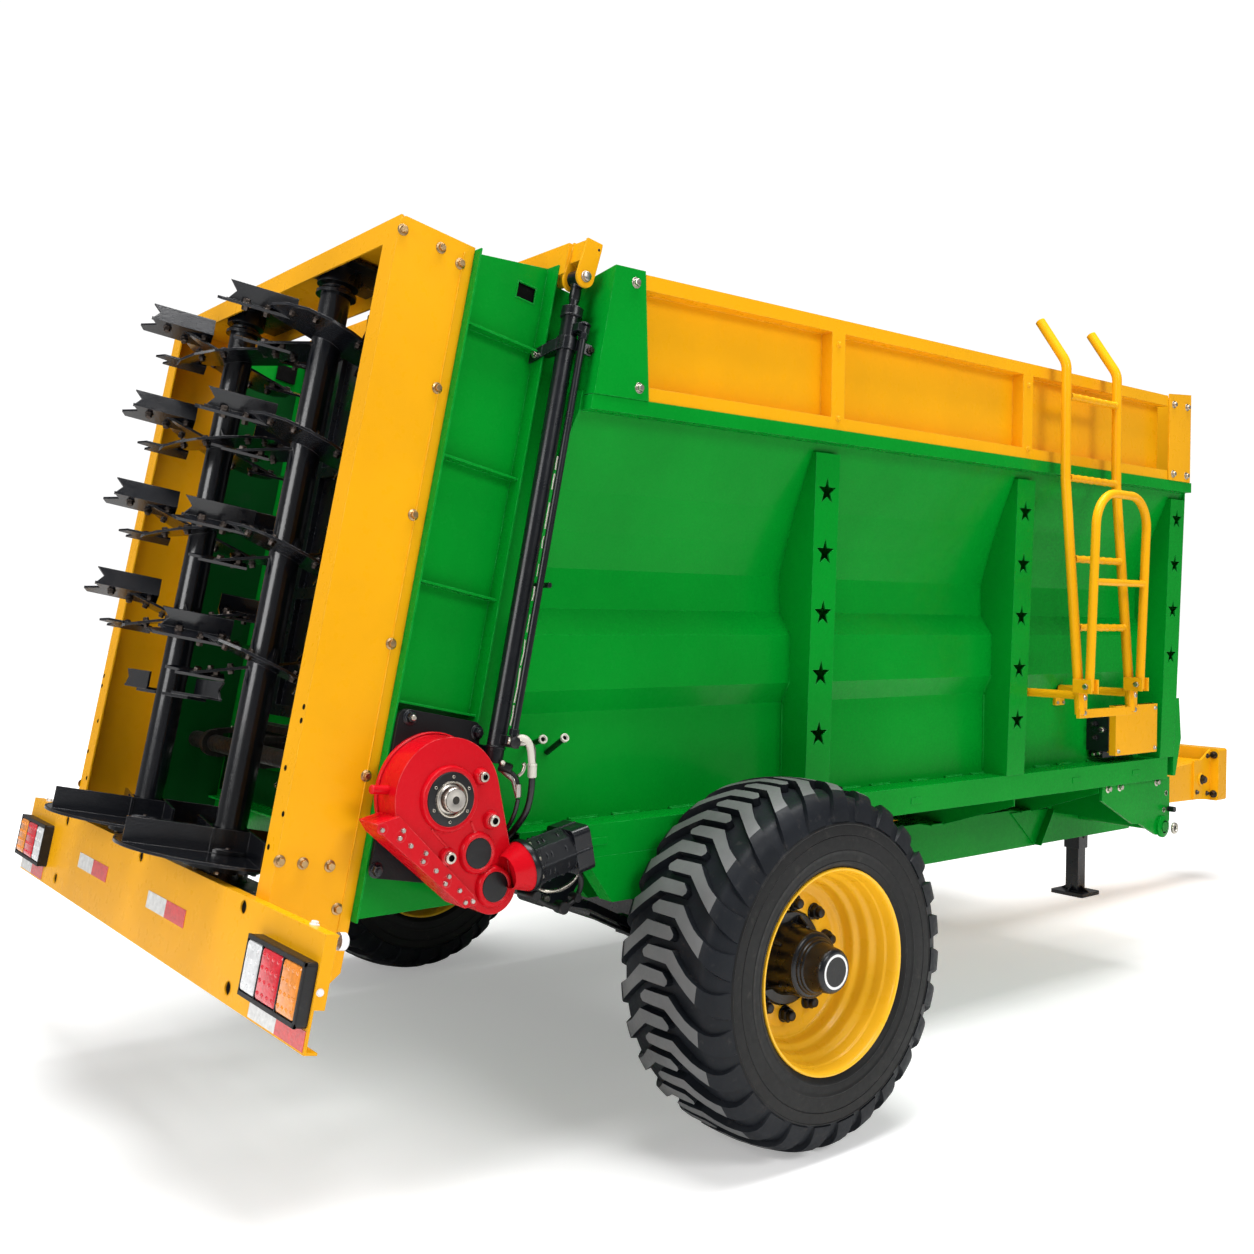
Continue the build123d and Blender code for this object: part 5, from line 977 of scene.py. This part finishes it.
def stile_y(z):
    return -1.110 + 0.0725 * (z - 1.200) / 0.890 if z < 2.090 else -1.0375 + 0.0035 * (z - 2.090) / 0.445


for z in (2.410, 2.099, 1.788, 1.527):
    for k in range(7):
        x = 1.640 + 0.0485 * k
        rg.lathe(P(x, stile_y(z), z), (1, 0, 0), [(0.0, 0.0128), (0.002, 0.0145), (0.010, 0.0145), (0.012, 0.0128)], 0, 18)
    for x in (1.606, 1.973):
        sx = 1 if x < 1.8 else -1
        rg.lathe(P(x + sx * 0.016, stile_y(z), z), (sx, 0, 0), [(0.0, 0.0165), (0.003, 0.0155), (0.006, 0.0130)], 0, 18)
rg.done("spreader", "yellow_paint", smooth=40)

# ---------------------------------------------------------------- controls
ct = Piece("control_details", ZINC, PLASTIC, STEEL, YELLOW, HOLE_SHADE)
for i in range(5):
    x = 2.240 + 0.068 * i
    # spool ends over the block, with unions
    ct.lathe(P(x, -0.845, 1.150), (0, 0, 1), [(-0.004, 0.019), (0.016, 0.019), (0.019, 0.016)], 1, 6, caps=(False, True))
    ct.lathe(P(x, -0.845, 1.166), (0, 0, 1), [(0.0, 0.010), (0.012, 0.010), (0.014, 0.008)], 0, 6, caps=(False, True))
for y, z in ((-0.870, 1.096), (-0.842, 1.060), (-0.838, 1.118)):
    ct.lathe(P(2.200, y, z), (-1, 0, 0), [(-0.004, 0.013), (0.010, 0.013), (0.012, 0.010)], 0 if y < -0.86 else 1, 6, caps=(False, True))
    ct.lathe(P(2.190, y, z), (-1, 0, 0), [(0.0, 0.0085), (0.016, 0.0085), (0.018, 0.006)], 1, 14, caps=(False, True))
for y, z in ((-0.850, 0.994), (-0.826, 0.986)):
    ct.lathe(P(2.225, y, z), (-1, 0, 0), [(-0.004, 0.0085), (0.016, 0.0085), (0.018, 0.006)], 0, 6, caps=(False, True))
for x in (2.330, 2.460):
    ct.bolt(P(x, -0.862, 0.986), RIGHT, 0.012, 0.006, 0, 0.009)
for x in (2.225, 2.525):
    for z in (1.008, 1.181):
        ct.bolt(P(x, -0.927, z), RIGHT, 0.012, 0.005, 0, 0.009, turn=z * 8)
# bracket plates that carry the box, and the fold along its edges
ct.box(P(2.215, -0.905, 1.094), (1, 0, 0), (0, 1, 0), (0, 0, 1), (0.003, 0.040, 0.190), 3)
ct.box(P(2.375, -0.9105, 1.1975), (1, 0, 0), (0, 1, 0), (0, 0, 1), (0.336, 0.030, 0.003), 3)
ct.done("spreader", "black_paint", smooth=40)

# ---------------------------------------------------------------- front brackets, hitch, drawbar and jack
fr = Piece("front_hardware", ZINC, BLACK, GREEN, HOLE_SHADE, YELLOW, STEEL, DARK)
for side in (-1, 1):
    n = Vector((0, side, 0))
    fr.lathe(P(2.690, side * 0.938, 0.645), n, [(-0.004, 0.0250), (0.001, 0.0255), (0.005, 0.0240), (0.006, 0.0150), (0.001, 0.0130)], 0, 32,
             caps=(False, False))
    # dark disc in the bore of the bush: painted shade
    fr.lathe(P(2.690, side * 0.938, 0.645), n, [(0.0008, 0.0130), (0.0006, 0.006)], 3, 32, caps=(False, True))
    fr.lathe(P(2.690, side * 0.880, 0.645), n, [(0.0, 0.0480), (0.010, 0.0480), (0.013, 0.0440), (0.016, 0.0280)], 2, 40)
    fr.tube([P(2.738, side * 0.886, 0.720), P(2.738, side * 0.915, 0.720)], 0.0125, 1, 18)
    for x, z in ((2.235, 0.845), (2.330, 0.845), (2.640, 0.845)):
        fr.bolt(P(x, side * 0.880, z), n, 0.021, 0.012, 0, 0.018, turn=x * 5)
    for x, z in ((2.709, 0.717), (2.727, 0.790)):
        fr.lathe(P(x, side * 0.8805, z), n, [(0.0, 0.0125), (0.0010, 0.0120), (0.0010, 0.0098), (-0.004, 0.0095)], 0, 20)
# bolt heads behind the hitch plate
for y in (-0.152, 0.152):
    for z in (0.540, 0.770):
        fr.bolt(P(4.752, y, z), (-1, 0, 0), 0.028, 0.014, 6, 0.022, turn=y * 9)
for side in (-1, 1):
    n = Vector((0, side, 0))
    fr.lathe(P(4.640, side * 0.132, 0.632), n, [(0.0, 0.0380), (0.005, 0.0380), (0.008, 0.0340), (0.009, 0.0250)], 4, 36)
    fr.bolt(P(4.640, side * 0.139, 0.632), n, 0.038, 0.020, 6, 0.030, turn=0.3)
    for x, z in ((4.712, 0.765), (4.712, 0.545), (4.590, 0.560)):
        fr.bolt(P(x, side * 0.132, z), n, 0.019, 0.010, 6, 0.015, turn=z * 9)
    # corner welds of the drawbar
    for z in (0.5235, 0.7075):
        fr.tube([P(1.80, side * 0.1195, z), P(2.6, side * 0.1195, z), P(3.6, side * 0.1195, z), P(4.29, side * 0.1195, z)], 0.0032, 4, 8)
# jack: lock pin and its ring, holes down the tube, crank seat, ground plate's gussets
JX, JY = 3.860, 0.190
fr.tube([P(JX, JY - 0.060, 0.470), P(JX, JY + 0.060, 0.470)], 0.0080, 0, 14)
ring = [P(JX + 0.022 * math.sin(a), JY - 0.056, 0.470 - 0.022 + 0.022 * math.cos(a)) for a in np.linspace(0, 2 * math.pi, 22)]
fr.tube(ring, 0.0025, 0, 8, caps=False)
# the holes down the tube are dark discs: painted shade
for z in (0.330, 0.400, 0.540, 0.610, 0.680):
    for sy in (-1, 1):
        fr.lathe(P(JX, JY + sy * 0.0451, z), (0, sy, 0), [(0.0, 0.0110), (0.0003, 0.0100)], 3, 18, caps=(False, True))
for dx in (-0.052, 0.052):
    for z in (0.555, 0.665):
        fr.bolt(P(JX + dx, 0.1455, z), (0, 1, 0), 0.019, 0.011, 0, 0.016)
fr.lathe(P(JX, JY, 0.774), (0, 0, 1), [(0.0, 0.034), (0.012, 0.034), (0.015, 0.030), (0.018, 0.0245)], 1, 36)
fr.done("spreader", "bare_steel", smooth=40)

jk = Piece("jack_foot_details", BLACK, ZINC)
for a in range(4):
    d = Vector((math.cos(a * math.pi / 2), math.sin(a * math.pi / 2), 0))
    e = Vector((-d.y, d.x, 0)) * 0.004
    c = P(JX, JY, 0.020)
    jk.plate([c + d * 0.036 - e, c + d * 0.084 - e, c + d * 0.036 + Vector((0, 0, 0.032)) - e], e, 0.008, 0)
jk.done("jack_foot", "black_paint", smooth=40)

# ---------------------------------------------------------------- running gear
rg2 = Piece("axle_hardware", BLACK, STEEL, HOLE_SHADE)
for side in (-1, 1):
    for y in (0.652, 0.748):
        for x in (-0.062, 0.062):
            rg2.tube([P(x, side * y, 0.418), P(x, side * y, 0.606)], 0.0095, 1, 14)
            rg2.bolt(P(x, side * y, 0.430), (0, 0, -1), 0.026, 0.014, 1, 0.019, turn=y * 30)
        rg2.tube([P(-0.062, side * y, 0.604), P(0.062, side * y, 0.604)], 0.0095, 1, 14)
    rg2.box(P(0, side * 0.700, 0.596), (1, 0, 0), (0, 1, 0), (0, 0, 1), (0.170, 0.130, 0.011), 0)
    # leaves of the springs under the main one, and their clips
    for k, half in enumerate((0.46, 0.33, 0.20)):
        drop = -0.034 - 0.011 * (k + 1)
        pts = [(x, z) for x, z in ((-0.455, 0.688), (-0.273, 0.600), (-0.150, 0.522), (-0.070, 0.478), (0.070, 0.478),
                                   (0.150, 0.522), (0.273, 0.600), (0.455, 0.688)) if abs(x) <= half + 0.01]
        rows = [[P(x, side * 0.700 + dy, z + drop + dz) for dy, dz in ((-0.035, 0), (0.035, 0), (0.035, 0.010), (-0.035, 0.010))]
                for x, z in pts]
        if drop > -0.048:
            rg2.rows(rows, True, 0, (True, True))
    for x, z in ((-0.273, 0.583), (0.273, 0.583)):
        rg2.box(P(x, side * 0.700, z), (1, 0, 0), (0, 1, 0), (0, 0, 1), (0.026, 0.084, 0.056), 0)
        rg2.bolt(P(x, side * 0.742, z), (0, side, 0), 0.013, 0.008, 1, 0.0)
    # spring eyes and pins at the carriers
    for x in (-0.640, 0.640):
        rg2.lathe(P(x, side * 0.752, 0.722), (0, side, 0), [(-0.104, 0.024), (0.0, 0.024), (0.004, 0.020)], 0, 28, caps=(True, True))
        rg2.bolt(P(x, side * 0.756, 0.722), (0, side, 0), 0.022, 0.012, 1, 0.0)
    # brake back plate bolts
    for k in range(8):
        a = math.radians(45 * k + 10)
        rg2.bolt(P(0.142 * math.cos(a), side * 0.880, TYRE_R + 0.142 * math.sin(a)), (0, -side, 0), 0.016, 0.009, 1, 0.0)
rg2.done("spreader", "black_paint", smooth=40)

bd = Piece("beater_drive_details", BLACK, ZINC, HOLE_SHADE)
for side in (-1, 1):
    for k in range(8):
        a = heading(45 * k + 12)
        bd.bolt(T(BT, side * BY, 0.862) + a * 0.088, -D_UP, 0.015, 0.009, 1, 0.0, turn=k)
    for dt in (-0.035, 0.035):
        for ds in (-0.028, 0.028):
            bd.bolt(T(0.060, side * 0.720 + dt, 0.790 + ds), -D_FWD, 0.019, 0.011, 1, 0.016)
bd.box(T(0.058, 0, 0.790), (0, 1, 0), D_FWD, D_UP, (0.300, 0.006, 0.070), 0)
for y in (-0.12, -0.04, 0.04, 0.12):
    bd.bolt(T(0.055, y, 0.790), -D_FWD, 0.017, 0.010, 1, 0.014)
bd.done("spreader", "black_paint", smooth=40)

# chain links and side plates over the conveyor's chain runs
cv = Piece("conveyor_chain", WORN, ZINC)
for y in (-0.620, -0.230, 0.230, 0.620):
    k = 0
    x = -1.060
    while x < 2.56:
        for zc in (1.075 + 0.050, 1.075 - 0.050):
            for dy in ((-0.0175, 0.0175) if k % 2 else (-0.0125, 0.0125)):
                cv.box(P(x, y + dy, zc - 0.008 * (1 if zc > 1.075 else -1)), (1, 0, 0), (0, 1, 0), (0, 0, 1), (0.066, 0.004, 0.018), 0)
        x += 0.056
        k += 1
cv.done("spreader", "bare_steel")


# ---------------------------------------------------------------- floor and light
floor_mesh = bpy.data.meshes.new("floor")
bm = bmesh.new()
bmesh.ops.create_grid(bm, x_segments=1, y_segments=1, size=40)
bm.to_mesh(floor_mesh)
bm.free()
floor = bpy.data.objects.new("floor", floor_mesh)
floor.location.z = -0.001
scene.collection.objects.link(floor)
fm, nt, b = new_mat("floor_pale")
n1 = noise(nt, 1.4, 3)
r1 = ramp(nt, n1.outputs["Fac"], [(0.3, (0.93, 0.93, 0.93)), (0.7, (0.96, 0.96, 0.96))])
nt.links.new(r1.outputs["Color"], b.inputs["Base Color"])
b.inputs["Roughness"].default_value = 0.85
b.inputs["Specular IOR Level"].default_value = 0.1
b.inputs["Emission Color"].default_value = (1, 1, 1, 1)
# the studio's white sweep: the floor brightens away from the machine, for the camera only
fc = add(nt, "ShaderNodeTexCoord")
far = add(nt, "ShaderNodeVectorMath", operation="LENGTH")
nt.links.new(fc.outputs["Object"], far.inputs[0])
fade = add(nt, "ShaderNodeMapRange", interpolation_type="SMOOTHSTEP")
for sock, v in (("From Min", 3.6), ("From Max", 8.5), ("To Min", 0.30), ("To Max", 1.05)):
    fade.inputs[sock].default_value = v
nt.links.new(far.outputs["Value"], fade.inputs["Value"])
eye = add(nt, "ShaderNodeLightPath")
nt.links.new(math_node(nt, "MULTIPLY", fade.outputs["Result"], eye.outputs["Is Camera Ray"]), b.inputs["Emission Strength"])
floor_mesh.materials.append(fm)

world = bpy.data.worlds.new("studio")
scene.world = world
world.use_nodes = True
wt = world.node_tree
bg = wt.nodes["Background"]
bg.inputs["Color"].default_value = (1, 1, 1, 1)
bg.inputs["Strength"].default_value = 0.24
white = wt.nodes.new("ShaderNodeBackground")
white.inputs["Color"].default_value = (1, 1, 1, 1)
white.inputs["Strength"].default_value = 1.05
lp = wt.nodes.new("ShaderNodeLightPath")
mx = wt.nodes.new("ShaderNodeMixShader")
wt.links.new(lp.outputs["Is Camera Ray"], mx.inputs[0])
wt.links.new(bg.outputs[0], mx.inputs[1])
wt.links.new(white.outputs[0], mx.inputs[2])
wt.links.new(mx.outputs[0], wt.nodes["World Output"].inputs["Surface"])
scene.view_settings.view_transform = "Standard"
scene.view_settings.look = "None"


def area(name, loc, target, size, power, color=(1, 1, 1)):
    l = bpy.data.lights.new(name, "AREA")
    l.shape = "RECTANGLE"
    l.size, l.size_y = size
    l.energy = power
    l.color = color
    o = bpy.data.objects.new(name, l)
    o.location = loc
    o.rotation_euler = (Vector(target) - Vector(loc)).to_track_quat("-Z", "Y").to_euler()
    scene.collection.objects.link(o)
    return o


area("top", (-1.2, -0.8, 9.0), (-1.2, 0, 0), (7, 5), 1220)
area("key", (-1.0, -9.0, 6.5), (-0.8, 0, 1.3), (4, 3), 350)
area("rear", (-9.5, -1.5, 4.0), (-2.5, 0, 1.4), (4, 3), 250)
